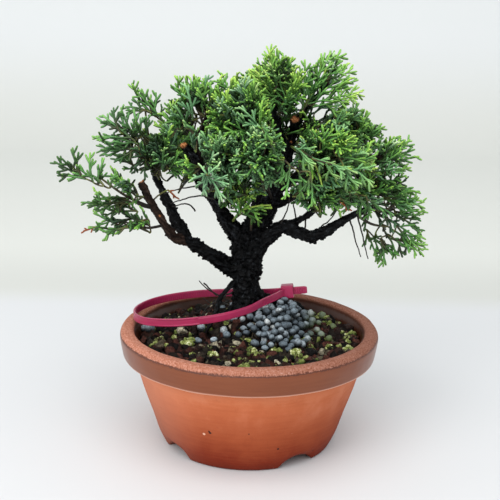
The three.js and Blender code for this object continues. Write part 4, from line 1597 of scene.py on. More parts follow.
@dataclass
class Wood:
    """The woody frame: trunk, limbs, roots, sawn stubs and knobs as one barked skin."""

    voxel: float = 0.56
    sides: int = 20
    bark_depth: float = 1.8
    strip: float = 2.3
    flake: float = 3.0
    stretch: float = 2.6  # how much longer than wide the bark's strips are
    knobs: int = 280
    seed: int = 31

    def build(self) -> None:
        """Skin the limbs and raise their bark."""
        finish = JuniperBark()
        limbs = self._limbs()
        tubes = [line for line, _ in limbs] + self._knobs([line for line, _ in limbs])
        wood = strings("trunk_limbs_and_roots", tubes, ("thickness",))
        grown(wood, tube_tree(), {"Sides": self.sides, "Material": finish.material()})
        skin = wood.modifiers.new("skin", "REMESH")
        skin.mode = "VOXEL"
        skin.voxel_size = self.voxel
        skin.use_smooth_shade = True
        settled(wood)
        self._follow(wood.data, limbs)
        sizes = {"Depth": self.bark_depth, "Strip": self.strip, "Flake": self.flake}
        grown(wood, bark_tree(), {**sizes, "Material": finish.material()})
        finished(wood, finish, "trunk_and_limbs")

    def _limbs(self) -> list[tuple[np.ndarray, float]]:
        """Gather every limb as a smooth line.

        Returns:
            Each line, and how young its bark is.
        """
        rng = np.random.default_rng(self.seed)
        limbs = []
        for name, stations in LIMBS.items():
            line = spline(np.array(stations, float), 6)
            spots = np.arange(0, len(line) + 3, 3)
            gnarl = np.interp(np.arange(len(line)), spots, rng.normal(0, 0.05, len(spots)))
            line[:, 3] *= 1 + gnarl
            limbs.append((line, YOUTH.get(name, 0.0)))
        for angle, reach, radius in ROOTS:
            turn = math.radians(angle)
            across, back = math.cos(turn) * reach, math.sin(turn) * reach
            stations = [
                (TRUNK_FOOT[0] + across * out, TRUNK_FOOT[1] + back * out, height, radius * thinner)
                for out, height, thinner in ROOT_COURSE
            ]
            limbs.append((spline(np.array(stations), 6), 0))
        for start, end, radius in STUBS:
            ends = np.array([start, end], float)
            places = ends[0] + (ends[1] - ends[0]) * np.linspace(0, 1, 5)[:, None]
            limbs.append((np.column_stack([places, np.full(5, radius)]), 0))
        return limbs

    def _knobs(self, lines: Sequence[np.ndarray]) -> list[np.ndarray]:
        """Set stubs and knuckles of broken twigs along the limbs.

        Args:
            lines: The limbs.

        Returns:
            The knobs, as short tapering lines.
        """
        rng = np.random.default_rng(self.seed + 1)
        limbs = lines[: len(LIMBS) - 2]
        made = []
        for _ in range(self.knobs):
            line = limbs[rng.integers(len(limbs))]
            i = rng.integers(1, len(line) - 1)
            along = unit(line[i + 1, :3] - line[i, :3])
            out = unit(np.cross(along, unit(rng.normal(size=3))) + 0.45 * along * rng.choice((-1, 1)))
            radius = line[i, 3]
            thick = min(rng.uniform(0.5, 1.1), radius * 0.6)
            reach = radius + rng.uniform(0.6, 2.6) * min(1.0, 0.4 + radius / 8)
            start = line[i, :3]
            middle, end = start + out * radius * 0.9, start + out * reach
            rows = [[*start, thick * 1.5], [*middle, thick * 1.4], [*end, thick * 0.8]]
            made.append(np.array(rows))
        return made

    def _follow(self, mesh: Mesh, limbs: Sequence[tuple[np.ndarray, float]]) -> None:
        """Store where each vertex lies on its nearest limb, for the bark to run along it.

        Args:
            mesh: The wood's skin.
            limbs: Every limb's line, and how young its bark is.
        """
        rows, spans, alongs, youths = [], [], [], []
        for number, (line, youth) in enumerate(limbs):
            rows.append(line)
            spans.append(np.gradient(line[:, :3], axis=0))
            alongs.append(lengths(line[:, :3]) + 61 * number)
            youths.append(np.full(len(line), youth))
        nodes, along = np.vstack(rows), np.concatenate(alongs)
        tangents, youth = np.vstack(spans), np.concatenate(youths)
        tangents /= np.linalg.norm(tangents, axis=1)[:, None]
        finder = kdtree.KDTree(len(nodes))
        for i, row in enumerate(nodes):
            finder.insert(row[:3], i)
        finder.balance()
        points = vertices_of(mesh)
        nearest = np.array([finder.find(point)[1] for point in points])
        offset = points - nodes[nearest, :3]
        run = (offset * tangents[nearest]).sum(axis=1)
        across = offset - tangents[nearest] * run[:, None]
        length = (along[nearest] + run) / self.stretch
        store(mesh, "bark_place", across + length[:, None] * np.array([0.31, 0.57, 0.76]))
        store(mesh, "girth", nodes[nearest, 3])
        store(mesh, "youth", youth[nearest])


# ---- Foliage ----


@dataclass(frozen=True)
class Spray:
    """The growth of one spray of scale-leaf cords: a main cord, its side cords and fingers."""

    reach: float
    seed: int
    radius: float = 0.65
    spacing: float = 3.6
    side_share: float = 0.5  # the longest side cord, as a share of the main one
    angle: float = 46.0

    def cords(self) -> list[np.ndarray]:
        """Grow the spray from the origin along +Z.

        Returns:
            A line for each cord, with x, y, z, thickness and age in each row.
        """
        rng = np.random.default_rng(self.seed)
        up = np.array([0.0, 0.0, 1.0])
        bow = np.array([rng.normal(0, 0.3), rng.normal(0, 0.3), 1.0])
        main = self._cord(np.zeros(3), up, unit(bow), self.reach, 7, rng)
        made = [main]
        side = rng.choice((-1, 1))
        at = self.reach * 0.14
        while at < self.reach * 0.95:
            share = at / self.reach
            longest = self.side_share * self.reach * (1.08 - 0.8 * share**1.3)
            length = max(2.6, longest * rng.uniform(0.7, 1.15))
            start, forward = self._at(main, share)
            turn = side * 90 + rng.normal(0, 30)
            heading = self._branched(forward, turn, self.angle + rng.normal(0, 8))
            cord = self._cord(start, heading, unit(heading + 0.5 * forward), length, 4, rng)
            made.append(cord)
            if length > 4.8:
                made += self._fingers(cord, length, turn, rng)
            side = -side
            at += self.spacing * rng.uniform(0.8, 1.25) * (1.1 - 0.45 * share)
        return [self._aged(cord) for cord in made]

    def _fingers(self, cord: np.ndarray, length: float, turn: float, rng: Rng) -> list[np.ndarray]:
        """Grow the short cords on a side cord.

        Args:
            cord: The side cord.
            length: Its length.
            turn: The angle at which it left the main cord.
            rng: The spray's random numbers.

        Returns:
            A line for each finger.
        """
        made = []
        side = rng.choice((-1, 1))
        at = 2.2
        while at < length - 1.4:
            start, forward = self._at(cord, at / length)
            way = turn + 90 + side * 90 + rng.normal(0, 35)
            heading = self._branched(forward, way, 45 + rng.normal(0, 8))
            reach = rng.uniform(3.2, 6.2) * (1.1 - 0.45 * at / length)
            made.append(self._cord(start, heading, unit(heading + 0.4 * forward), reach, 3, rng))
            side = -side
            at += rng.uniform(2.3, 3.3)
        return made

    def _cord(
        self, start: np.ndarray, heading: np.ndarray, ending: np.ndarray, length: float, points: int,
        rng: Rng
    ) -> np.ndarray:
        """Grow one cord that bends from one heading to another and ends in a blunt tip.

        Args:
            start: Where it leaves.
            heading: Its heading there.
            ending: Its heading at its tip.
            length: Its length.
            points: How many points it has, before its tip.
            rng: The spray's random numbers.

        Returns:
            x, y, z and radius for each point.
        """
        shares = np.linspace(0, 1, points)
        steps = np.diff(shares) * length
        places = [start]
        for share, step in zip(shares[1:], steps):
            places.append(places[-1] + unit(heading * (1 - share) + ending * share) * step)
        thick = self.radius * rng.uniform(0.9, 1.08)
        radii = thick * np.interp(shares, [0, 0.5, 1], [0.92, 1.05, 0.9])
        tip = places[-1] + unit(ending) * thick * 0.8
        return np.vstack([np.column_stack([places, radii]), [*tip, thick * 0.38]])

    @staticmethod
    def _at(cord: np.ndarray, share: float) -> tuple[np.ndarray, np.ndarray]:
        """Find a place on a cord.

        Args:
            cord: The cord.
            share: A share of the cord's length.

        Returns:
            The place, and the heading there.
        """
        spot = share * (len(cord) - 2)
        i = min(int(spot), len(cord) - 3)
        place = cord[i, :3] + (cord[i + 1, :3] - cord[i, :3]) * (spot - i)
        return place, unit(cord[i + 1, :3] - cord[i, :3])

    @staticmethod
    def _branched(forward: np.ndarray, turn: float, angle: float) -> np.ndarray:
        """Tilt a heading.

        Args:
            forward: The heading.
            turn: The compass turn that it tilts towards, in degrees.
            angle: How far it tilts, in degrees.

        Returns:
            The new heading.
        """
        side = unit(np.cross(forward, [0.03, 1.0, 0.02]))
        other = np.cross(forward, side)
        # A turn of 90 degrees lies in the spray's flat plane.
        out = side * math.sin(math.radians(turn)) + other * math.cos(math.radians(turn))
        return forward * math.cos(math.radians(angle)) + out * math.sin(math.radians(angle))

    def _aged(self, cord: np.ndarray) -> np.ndarray:
        """Add each point's age, from old at the spray's base to new at every tip.

        Args:
            cord: The cord.

        Returns:
            The cord with one more column.
        """
        away = np.linalg.norm(cord[:, :3], axis=1) / (self.reach * 1.15)
        tipward = np.linspace(0, 1, len(cord)) ** 4 * 0.28
        return np.column_stack([cord, np.clip(0.05 + 0.6 * away + tipward, 0, 1)])


# Where the photograph shows the canopy's edge, gaps through it, and stretches of limb in front
# of it, in pixels of its frame.
EDGE_PX = (
    (50, 163), (56, 157), (65, 148), (73, 156), (82, 151), (93, 154), (102, 157), (112, 166), (104, 151),
    (96, 145), (91, 132), (95, 121), (97, 111), (103, 106), (115, 108), (121, 107), (118, 98), (122, 86),
    (128, 78), (135, 78), (147, 86), (156, 94), (162, 96), (171, 97), (173, 73), (182, 67), (192, 72),
    (203, 75), (213, 69), (221, 73), (229, 65), (238, 71), (248, 67), (256, 61), (262, 42), (273, 44),
    (288, 49), (296, 56), (306, 56), (316, 55), (322, 49), (338, 45), (347, 50), (356, 60), (364, 78),
    (369, 90), (364, 99), (358, 103), (372, 113), (383, 119), (388, 134), (404, 133), (416, 137),
    (415, 158), (412, 172), (405, 184), (421, 190), (430, 205), (429, 222), (429, 243), (420, 258),
    (404, 261), (395, 265), (388, 270), (378, 264), (366, 250), (356, 234), (340, 228), (322, 224),
    (304, 212), (285, 208), (272, 217), (262, 222), (244, 224), (230, 221), (214, 204), (198, 213),
    (178, 212), (160, 213), (150, 227), (128, 233), (108, 239), (90, 233), (84, 227), (88, 212),
    (82, 208), (76, 200), (88, 189), (84, 182), (66, 179), (54, 172)
)
GAPS_PX = (
    (203, 228, 22, 15), (154, 127, 4, 5), (94, 173, 6, 5), (167, 184, 7, 6), (198, 115, 3, 9),
    (320, 115, 4, 4), (324, 95, 7, 4), (273, 221, 9, 5), (298, 214, 10, 5), (316, 226, 9, 3),
    (130, 198, 5, 2), (106, 190, 6, 2), (240, 190, 3, 3)
)
SHOWN_LIMBS_PX = (
    (25, 6.5, ((295, 124), (296, 120))),
    (27, 3.6, ((281, 196), (286, 180), (289, 165), (291, 145), (295, 122))),
    (8, 6, ((187, 146), (200, 165), (206, 180), (214, 200))),
    (2, 4.5, ((139, 184), (143, 195), (151, 212), (160, 228), (170, 243))),
    (-4, 8, ((234, 216), (246, 204), (264, 204))),
    (-22, 3, ((300, 153), (320, 162), (340, 165), (360, 170), (379, 179))),
    (10, 5, ((176, 200), (184, 215), (195, 236)))
)


class Look(Enum):
    """How a group of sprays is coloured: its tint and how much blue wax it carries."""

    GREEN = (0.6, 0.1)
    YOUNG = (1, 0)
    FRESH = (0.8, 0.5)
    WAXY = (0.95, 0.9)
    # A dark tint for groups that lie in shadow: painted shade.
    DEEP = (0.25, 0.3)


# Sprays that make the canopy's outline or stand out in front of it: the depth and look of each
# group, and the pixels of each spray's base and tip.
OUTLINE_SPRAYS: dict[str, tuple[float, Look, Rows]] = {
    "left_tip": (-38, Look.GREEN, (
        (84, 177, 52, 163), (82, 176, 65, 150), (93, 182, 82, 153), (98, 184, 101, 159),
        (86, 179, 57, 173), (74, 170, 72, 159), (110, 188, 112, 172), (104, 186, 92, 165)
    )),
    "left_shelf": (0, Look.DEEP, (
        (135, 141, 99, 113), (138, 144, 95, 129), (139, 150, 100, 146), (137, 139, 113, 111),
        (142, 136, 127, 109), (149, 141, 138, 118), (132, 150, 118, 163), (140, 156, 130, 176),
        (120, 132, 106, 110), (146, 160, 141, 180)
    )),
    "left_crown": (12, Look.GREEN, (
        (163, 121, 131, 79), (150, 112, 123, 100), (148, 109, 124, 88), (152, 114, 145, 90),
        (157, 117, 153, 95), (161, 120, 160, 106)
    )),
    "left_low": (-14, Look.GREEN, (
        (106, 205, 79, 200), (109, 206, 84, 206), (110, 200, 92, 191), (120, 212, 103, 210),
        (124, 205, 106, 196), (130, 208, 122, 192), (138, 212, 128, 204)
    )),
    "left_under": (-20, Look.GREEN, (
        (114, 222, 90, 217), (118, 226, 98, 237), (126, 225, 105, 235), (133, 222, 118, 231),
        (141, 221, 128, 229), (148, 219, 142, 228), (120, 220, 103, 224)
    )),
    "left_inner": (5, Look.GREEN, ((138, 170, 120, 158), (150, 160, 140, 142), (158, 172, 172, 158))),
    "upper_left": (14, Look.GREEN, (
        (197, 119, 178, 72), (198, 112, 188, 77), (203, 113, 198, 76), (176, 128, 165, 101),
        (180, 129, 175, 101), (170, 138, 160, 118), (188, 100, 173, 76)
    )),
    "crown_front": (8, Look.GREEN, (
        (214, 108, 212, 73), (222, 106, 219, 80), (231, 104, 228, 69), (236, 106, 240, 76),
        (247, 102, 247, 73), (252, 96, 255, 66), (241, 100, 232, 70)
    )),
    "crown_top": (14, Look.GREEN, (
        (286, 99, 263, 45), (285, 93, 276, 51), (287, 94, 285, 52), (284, 101, 257, 66),
        (288, 98, 294, 63), (281, 106, 248, 74), (278, 84, 260, 52), (290, 96, 300, 66)
    )),
    "crown_right": (20, Look.GREEN, (
        (302, 112, 311, 58), (303, 110, 329, 50), (305, 107, 340, 46), (306, 105, 354, 66),
        (308, 104, 365, 89), (313, 107, 362, 98), (318, 82, 320, 56), (330, 76, 349, 58),
        (335, 88, 360, 78)
    )),
    "right_upper": (20, Look.GREEN, ((346, 126, 357, 103), (340, 122, 350, 106), (336, 128, 345, 112))),
    "right_back": (30, Look.GREEN, (
        (360, 136, 371, 118), (362, 140, 382, 120), (358, 128, 366, 113), (368, 145, 381, 128)
    )),
    "right_tip": (22, Look.GREEN, (
        (380, 162, 388, 139), (385, 160, 398, 136), (388, 162, 405, 137), (390, 162, 415, 139),
        (386, 168, 416, 147), (385, 176, 410, 161), (382, 186, 409, 171), (376, 195, 403, 184)
    )),
    "right_low": (26, Look.GREEN, (
        (392, 201, 417, 193), (393, 203, 422, 198), (395, 208, 427, 205), (396, 214, 427, 219),
        (388, 196, 402, 188)
    )),
    "right_droop": (24, Look.GREEN, (
        (398, 217, 427, 229), (396, 224, 426, 242), (395, 231, 421, 251), (392, 237, 413, 257),
        (388, 235, 403, 257), (381, 238, 396, 258), (381, 241, 391, 266), (373, 236, 385, 264),
        (366, 229, 377, 256), (376, 232, 372, 246)
    )),
    "centre_front": (-40, Look.WAXY, (
        (208, 174, 195, 192), (208, 176, 199, 164), (208, 175, 218, 162), (208, 176, 226, 186),
        (209, 177, 229, 198), (208, 176, 205, 196), (206, 174, 190, 182)
    )),
    "trunk_front": (-34, Look.GREEN, (
        (290, 166, 288, 202), (299, 172, 305, 203), (310, 172, 318, 206), (284, 160, 276, 186),
        (262, 125, 270, 145), (268, 140, 280, 156)
    )),
    "trunk_sprig": (-3, Look.YOUNG, (
        (236, 218, 250, 186), (240, 214, 230, 174), (244, 210, 272, 204), (242, 214, 266, 216),
        (240, 212, 238, 180), (246, 208, 262, 190)
    )),
    "right_front": (-28, Look.FRESH, (
        (294, 147, 318, 160), (312, 158, 338, 166), (332, 165, 360, 170), (350, 168, 379, 180),
        (300, 150, 306, 172), (326, 163, 330, 184), (344, 167, 350, 192)
    )),
    "back": (42, Look.DEEP, (
        (275, 202, 271, 164), (284, 190, 279, 150), (287, 172, 282, 134), (291, 152, 286, 116),
        (268, 196, 262, 158), (305, 150, 300, 116), (300, 190, 304, 160)
    )),
    "right_inner": (-8, Look.GREEN, (
        (325, 195, 340, 214), (340, 198, 352, 212), (312, 192, 320, 208), (350, 192, 350, 214),
        (358, 195, 364, 218), (366, 196, 376, 220)
    )),
}
DEAD_SPRAYS_PX = ((94, 227, 86, 231, -20), (168, 190, 178, 198, 4), (340, 202, 350, 207, -10))


def inside_outline(pixels: np.ndarray, outline: Sequence[tuple[float, float]]) -> np.ndarray:
    """Tell which pixels lie inside a closed outline.

    Args:
        pixels: Across and down in each row.
        outline: Its corners.

    Returns:
        True for each pixel inside.
    """
    corners = np.array(outline, float)
    after = np.roll(corners, -1, axis=0)
    x, y = pixels[:, :1], pixels[:, 1:]
    crosses = (corners[:, 1] > y) != (after[:, 1] > y)
    rise = after[:, 1] - corners[:, 1]
    slope = (after[:, 0] - corners[:, 0]) / np.where(rise == 0, 1, rise)
    left = x < slope * (y - corners[:, 1]) + corners[:, 0]
    return (crosses & left).sum(axis=1) % 2 == 1


def span_distance(pixels: np.ndarray, line: Sequence[tuple[float, float]]) -> np.ndarray:
    """Measure how far pixels lie from a line of several spans.

    Args:
        pixels: Across and down in each row.
        line: The line's points.

    Returns:
        The distance of each pixel.
    """
    best = np.full(len(pixels), np.inf)
    for a, b in zip(np.array(line[:-1], float), np.array(line[1:], float)):
        span = b - a
        share = np.clip((pixels - a) @ span / (span @ span), 0, 1)
        best = np.minimum(best, np.linalg.norm(pixels - a - share[:, None] * span, axis=1))
    return best


@dataclass
class Planting:
    """One spray set in place: its base, heading, roll, variant, size and colouring."""

    base: np.ndarray
    heading: np.ndarray
    roll: float
    kind: int
    size: float
    tint: float
    wax: float
    dead: float = 0.0

    def rotation(self) -> Quaternion:
        """Give the turn from the variant's own axes."""
        level = Vector(self.heading).to_track_quat("Z", "X")
        return level @ Quaternion((0, 0, 1), self.roll)


@dataclass
class Foliage:
    """Every pad of the canopy, and the fine twigs that carry its sprays."""

    reaches: tuple[float, ...] = (9, 12, 12, 15, 15, 18, 18, 22, 22, 27, 27, 34)
    cover: float = 55.0  # square millimetres of a pad's surface for each spray
    inner_share: float = 0.55
    overall: float = 1.05  # a variant's whole length, as a share of its main cord
    size_limits: tuple[float, float] = (0.8, 1.25)
    usual_length: tuple[float, float] = (17, 4)  # of a spray in the filling: mean and spread
    length_limits: tuple[float, float] = (9, 28)
    outer_depth: tuple[float, float] = (0.84, 1.02)  # where tips lie, as shares of the pad's half sizes
    inner_depth: tuple[float, float] = (0.4, 0.72)
    kept_inside: float = 0.97  # the least share of a spray's tips inside the canopy's outline
    seed: int = 101
    feelers: list[np.ndarray] = field(default_factory=list)

    def build(self) -> None:
        """Grow the variants, plant each pad and join the sprays to the wood."""
        finish = ScaleLeaf()
        folder = self._variants(finish)
        tree = planting_tree()
        twigs = []
        for number, (name, pad) in enumerate(PADS.items()):
            rng = np.random.default_rng(self.seed + number)
            planted = self._outline(name, pad, rng) + self._filling(pad, rng)
            twigs += self._twiglets(pad, planted, rng)
            made = self._planted(f"sprays_{name}", planted)
            grown(made, tree, {"Shapes": folder, "Material": finish.material()})
            finished(made, finish, f"foliage_{name}")
        discard(folder)
        self._fine_twigs(twigs)

    def _variants(self, finish: Finish) -> bpy.types.Collection:
        """Grow each variant of a spray.

        Args:
            finish: The foliage's finish.

        Returns:
            A collection of them, outside the scene, in order.
        """
        folder = bpy.data.collections.new("spray_shapes")
        tubes = tube_tree()
        for i, reach in enumerate(self.reaches):
            side_share = (0.44 + 0.16 * (i % 2)) * min(1, 22 / reach)
            cords = Spray(reach, self.seed + 7 * i, side_share=side_share).cords()
            self.feelers.append(np.vstack([cord[-3::2, :3] for cord in cords]))
            made = strings(f"spray_{i:02d}", cords, ("thickness", "age"))
            grown(made, tubes, {"Sides": 5, "Material": finish.material()})
            if "thickness" in made.data.attributes:
                made.data.attributes.remove(made.data.attributes["thickness"])
            bpy.context.scene.collection.objects.unlink(made)
            folder.objects.link(made)
        return folder

    def _variant_for(self, length: float, rng: Rng) -> tuple[int, float]:
        """Pick a variant for a length.

        Args:
            length: The length.
            rng: The pad's random numbers.

        Returns:
            Its number, and the size that gives it that length.
        """
        spans = np.array(self.reaches) * self.overall
        kind = int(np.argmin(np.abs(spans - length) + rng.uniform(0, 1.5, len(spans))))
        return kind, float(np.clip(length / spans[kind], *self.size_limits))

    def _outline(self, name: str, pad: Pad, rng: Rng) -> list[Planting]:
        """Plant the sprays that the photograph shows at a pad's edge or in front of it.

        Args:
            name: The pad's name.
            pad: The pad.
            rng: The pad's random numbers.

        Returns:
            The planted sprays.
        """
        made = []
        depth, look, rows = OUTLINE_SPRAYS.get(name, (0, Look.GREEN, ()))
        for row in rows:
            base = CAMERA.at_depth(row[:2], depth + rng.uniform(-4, 4))
            tip = CAMERA.at_depth(row[2:], depth + rng.uniform(-4, 4))
            spray = self._between(base, tip, look, rng)
            spray.tint = float(np.clip(spray.tint + pad.young, 0.12, 1.1))
            made.append(spray)
        for bx, by, tx, ty, depth in DEAD_SPRAYS_PX:
            base, tip = CAMERA.at_depth((bx, by), depth), CAMERA.at_depth((tx, ty), depth)
            if np.all(np.abs(base - pad.middle) < np.array(pad.half) * 1.3) and len(made) > 0:
                brown = self._between(base, tip, look, rng)
                brown.dead = 1.0
                made.append(brown)
        return made

    def _between(self, base: np.ndarray, tip: np.ndarray, look: Look, rng: Rng) -> Planting:
        """Plant a spray from one point to another, with its flat side to the front.

        Args:
            base: Where it grows from.
            tip: Where it ends.
            look: How it is coloured.
            rng: The pad's random numbers.

        Returns:
            The planted spray.
        """
        heading = tip - base
        length = float(np.linalg.norm(heading))
        kind, size = self._variant_for(length, rng)
        level = Vector(heading).to_track_quat("Z", "X")
        flat = level.inverted() @ Vector((0, -1, 0.15))
        roll = math.atan2(flat.y, flat.x) - math.pi / 2 + rng.normal(0, 0.45)
        tint = float(np.clip(look.value[0] + rng.normal(0, 0.22), 0.12, 1))
        wax = look.value[1] * rng.uniform(0.6, 1)
        return Planting(base, unit(heading), roll, kind, size, tint, wax)

    def _filling(self, pad: Pad, rng: Rng) -> list[Planting]:
        """Fill a pad with sprays that fan out from its twig to its surface.

        Args:
            pad: The pad.
            rng: The pad's random numbers.

        Returns:
            The planted sprays.
        """
        a, b, c = pad.half
        power = 1.6
        mean = ((a * b) ** power + (a * c) ** power + (b * c) ** power) / 3
        area = 4 * math.pi * mean ** (1 / power)
        outer = int(area / self.cover * pad.fill)
        inner = int(outer * self.inner_share)
        middle, half = np.array(pad.middle, float), np.array(pad.half, float)
        growth = unit(middle - np.array(pad.start))
        made = []
        for i in range(outer + inner):
            number = i % outer
            height = 1 - 2 * (number + 0.5) / outer
            turn = number * math.pi * (3 - math.sqrt(5)) + rng.uniform(-0.3, 0.3)
            ring = math.sqrt(1 - height * height)
            out = np.array([ring * math.cos(turn), ring * math.sin(turn), height])
            out = unit(out + rng.normal(0, 0.12, 3))
            if out @ growth < -0.75 and rng.uniform() < 0.7:
                continue
            depth = rng.uniform(*(self.outer_depth if i < outer else self.inner_depth))
            tip = middle + half * out * depth
            fan = 0.62 * unit(half * out) + 0.3 * growth + np.array(pad.lean)
            heading = unit(fan + rng.normal(0, 0.2, 3))
            length = float(np.clip(rng.normal(*self.usual_length), *self.length_limits))
            planting = self._fitted(tip, heading, length, pad, rng)
            if planting:
                # Sprays on a pad's upper side are painted lighter and those below darker, as painted
                # light and shade; inner sprays are painted dark, as painted shade.
                lit = planting.tint + 0.25 * out[2] - 0.1 + pad.young
                planting.tint = max(lit, 0.12) if i < outer else planting.tint * 0.12
                made.append(planting)
        return made

    def _fitted(
        self, tip: np.ndarray, heading: np.ndarray, length: float, pad: Pad, rng: Rng
    ) -> Planting | None:
        """Plant a spray where it keeps the canopy's edge and gaps, shorter if it has to be.

        Args:
            tip: Where it would end.
            heading: Where it points.
            length: Its length.
            pad: Its pad.
            rng: The pad's random numbers.

        Returns:
            The planted spray, or None where none fits.
        """
        tint = float(np.clip(rng.normal(0.5, 0.2), 0.15, 1))
        wax = float(rng.uniform() < pad.wax) * rng.uniform(0.3, 0.9)
        roll = rng.uniform(0, 2 * math.pi)
        base = tip - heading * length
        for shorter in (1, 0.8, 0.62):
            kind, size = self._variant_for(length * shorter, rng)
            planting = Planting(base, heading, roll, kind, size, tint, wax)
            turn = np.array(planting.rotation().to_matrix())
            points = base + self.feelers[kind] * size @ turn.T
            pixels = CAMERA.pixels(points)
            if self._allowed(pixels, points):
                return planting
        return None

    def _allowed(self, pixels: np.ndarray, points: np.ndarray) -> bool:
        """Tell if a spray's tips keep to the canopy's outline and off its gaps.

        Args:
            pixels: Where the tips appear.
            points: Where they are.

        Returns:
            True if they do.
        """
        if inside_outline(pixels, EDGE_PX).mean() < self.kept_inside:
            return False
        for x, y, across, down in GAPS_PX:
            share = ((pixels[:, 0] - x) / (across + 1)) ** 2 + ((pixels[:, 1] - y) / (down + 1)) ** 2
            if (share < 1).any():
                return False
        for depth, margin, line in SHOWN_LIMBS_PX:
            in_front = points[:, 1] < depth + 6
            if in_front.any() and (span_distance(pixels[in_front], line) < margin).any():
                return False
        return True

    @staticmethod
    def _planted(name: str, planted: Sequence[Planting]) -> Object:
        """Make the points that a pad's sprays are set on.

        Args:
            name: The piece's name.
            planted: Its sprays.

        Returns:
            The object of points.
        """
        values = {
            "kind": np.array([p.kind for p in planted], np.int32),
            "facing": np.array([p.rotation().to_euler() for p in planted], float)
        }
        for label in ("size", "tint", "wax", "dead"):
            values[label] = np.array([getattr(p, label) for p in planted], float)
        return new_object(name, np.array([p.base for p in planted]), values=values)

    @staticmethod
    def _twiglets(pad: Pad, planted: Sequence[Planting], rng: Rng) -> list[np.ndarray]:
        """Join each spray's base to the nearest twig, nearest first.

        Args:
            pad: The pad.
            planted: Its sprays.
            rng: The pad's random numbers.

        Returns:
            Lines with x, y, z, thickness and age in each row.
        """
        twig = spline(pad.twig(), 8)
        twig[:, 3] *= 0.6
        made = [np.column_stack([twig, np.linspace(0.05, 0.6, len(twig))])]
        nodes = [row[:3] for row in twig[4:]]
        waiting = [(p.base, p.heading) for p in planted]
        while waiting:
            known = np.array(nodes)
            gaps = [np.linalg.norm(known - base, axis=1).min() for base, _ in waiting]
            base, heading = waiting.pop(int(np.argmin(gaps)))
            start = known[int(np.argmin(np.linalg.norm(known - base, axis=1)))]
            gap = np.linalg.norm(base - start)
            if gap < 0.4:
                continue
            bow = base - heading * min(gap * 0.2, 4) + rng.normal(0, 0.04, 3) * gap
            turn = (start + bow) / 2 + np.array([0, 0, -0.06 * gap])
            line = []
            for t in np.linspace(0, 1, 5):
                first = (1 - t) ** 2 * start + 2 * t * (1 - t) * turn * 0.5
                line.append(first + t * (1 - t) * bow + t * t * base)
            end = base + heading * 1.5
            radii, ages = np.linspace(0.52, 0.44, 6), np.linspace(0.25, 0.95, 6)
            made.append(np.column_stack([np.vstack([line, end]), radii, ages]))
            nodes += line[2:]
        return made

    def _fine_twigs(self, twigs: Sequence[np.ndarray]) -> None:
        """Make the twiglets, the hanging twigs and the hair roots one piece.

        Args:
            twigs: The twiglets.
        """
        finish = TwigBark()
        rng = np.random.default_rng(self.seed + 900)
        extra = []
        for depth, rows in FINE_LINES_PX:
            points = np.array([CAMERA.at_depth(row, depth) for row in rows])
            line = spline(points, 4) + rng.normal(0, 0.12, (len(points) * 4 - 3, 3))
            radii = np.linspace(0.55, 0.3, len(line))
            extra.append(np.column_stack([line, radii, np.full(len(line), 0.12)]))
        for row in SHOOTS_PX:
            line = spline(np.array([CAMERA.at_depth((x, y), depth) for x, y, depth in row]), 4)
            radii = np.linspace(0.75, 0.42, len(line))
            extra.append(np.column_stack([line, radii, np.linspace(0.75, 1.05, len(line))]))
        made = strings("fine_twigs", [*twigs, *extra], ("thickness", "age"))
        grown(made, tube_tree(), {"Sides": 5, "Material": finish.material()})
        finished(made, finish, "trunk_and_limbs")


# Thin dark twigs and hair roots that show against the pale ground: depth, and pixels in order.
FINE_LINES_PX = (
    (9, ((214, 199), (200, 196), (188, 198), (178, 201), (167, 205))),
    (12, ((226, 300), (216, 294), (206, 288), (199, 281))),
    (14, ((230, 300), (221, 305), (212, 304), (203, 298))),
    (9, ((195, 211), (190, 205), (183, 204), (176, 206), (168, 207))),
    (9, ((206, 184), (192, 187), (178, 189), (164, 194))),
    (4, ((349, 217), (353, 230), (356, 242), (361, 257))),
    (6, ((357, 213), (361, 230), (364, 243), (368, 259))),
    (16, ((232, 293), (222, 297), (214, 306), (207, 313))), (10, ((204, 283), (210, 289), (217, 296))),
    (12, ((226, 296), (215, 302), (206, 309), (201, 316))), (14, ((214, 300), (213, 308), (219, 315))),
    (8, ((278, 229), (283, 219), (288, 208), (290, 196))),
    (7, ((293, 229), (296, 216), (293, 203), (296, 194))),
    (6, ((305, 229), (307, 214), (313, 203), (316, 192))),
    (5, ((318, 234), (322, 226), (330, 220), (338, 208)))
)


# Fresh yellow-green shoots: across, down and depth of each point.
SHOOTS_PX = (
    ((291, 146, 24), (300, 153, 4), (320, 162, -14), (340, 166, -26), (352, 169, -30)),
    ((310, 158, -4), (318, 171, -20), (322, 186, -28)),
    ((233, 221, 14), (237, 215, 2), (245, 209, -5), (258, 206, -7), (271, 205, -8)),
    ((240, 212, -2), (238, 198, -6), (232, 184, -8)), ((288, 98, 18), (282, 82, 15), (276, 66, 14)),
    ((300, 118, 26), (303, 108, 22), (316, 88, 20), (328, 66, 20))
)


# ---- Cable tie ----


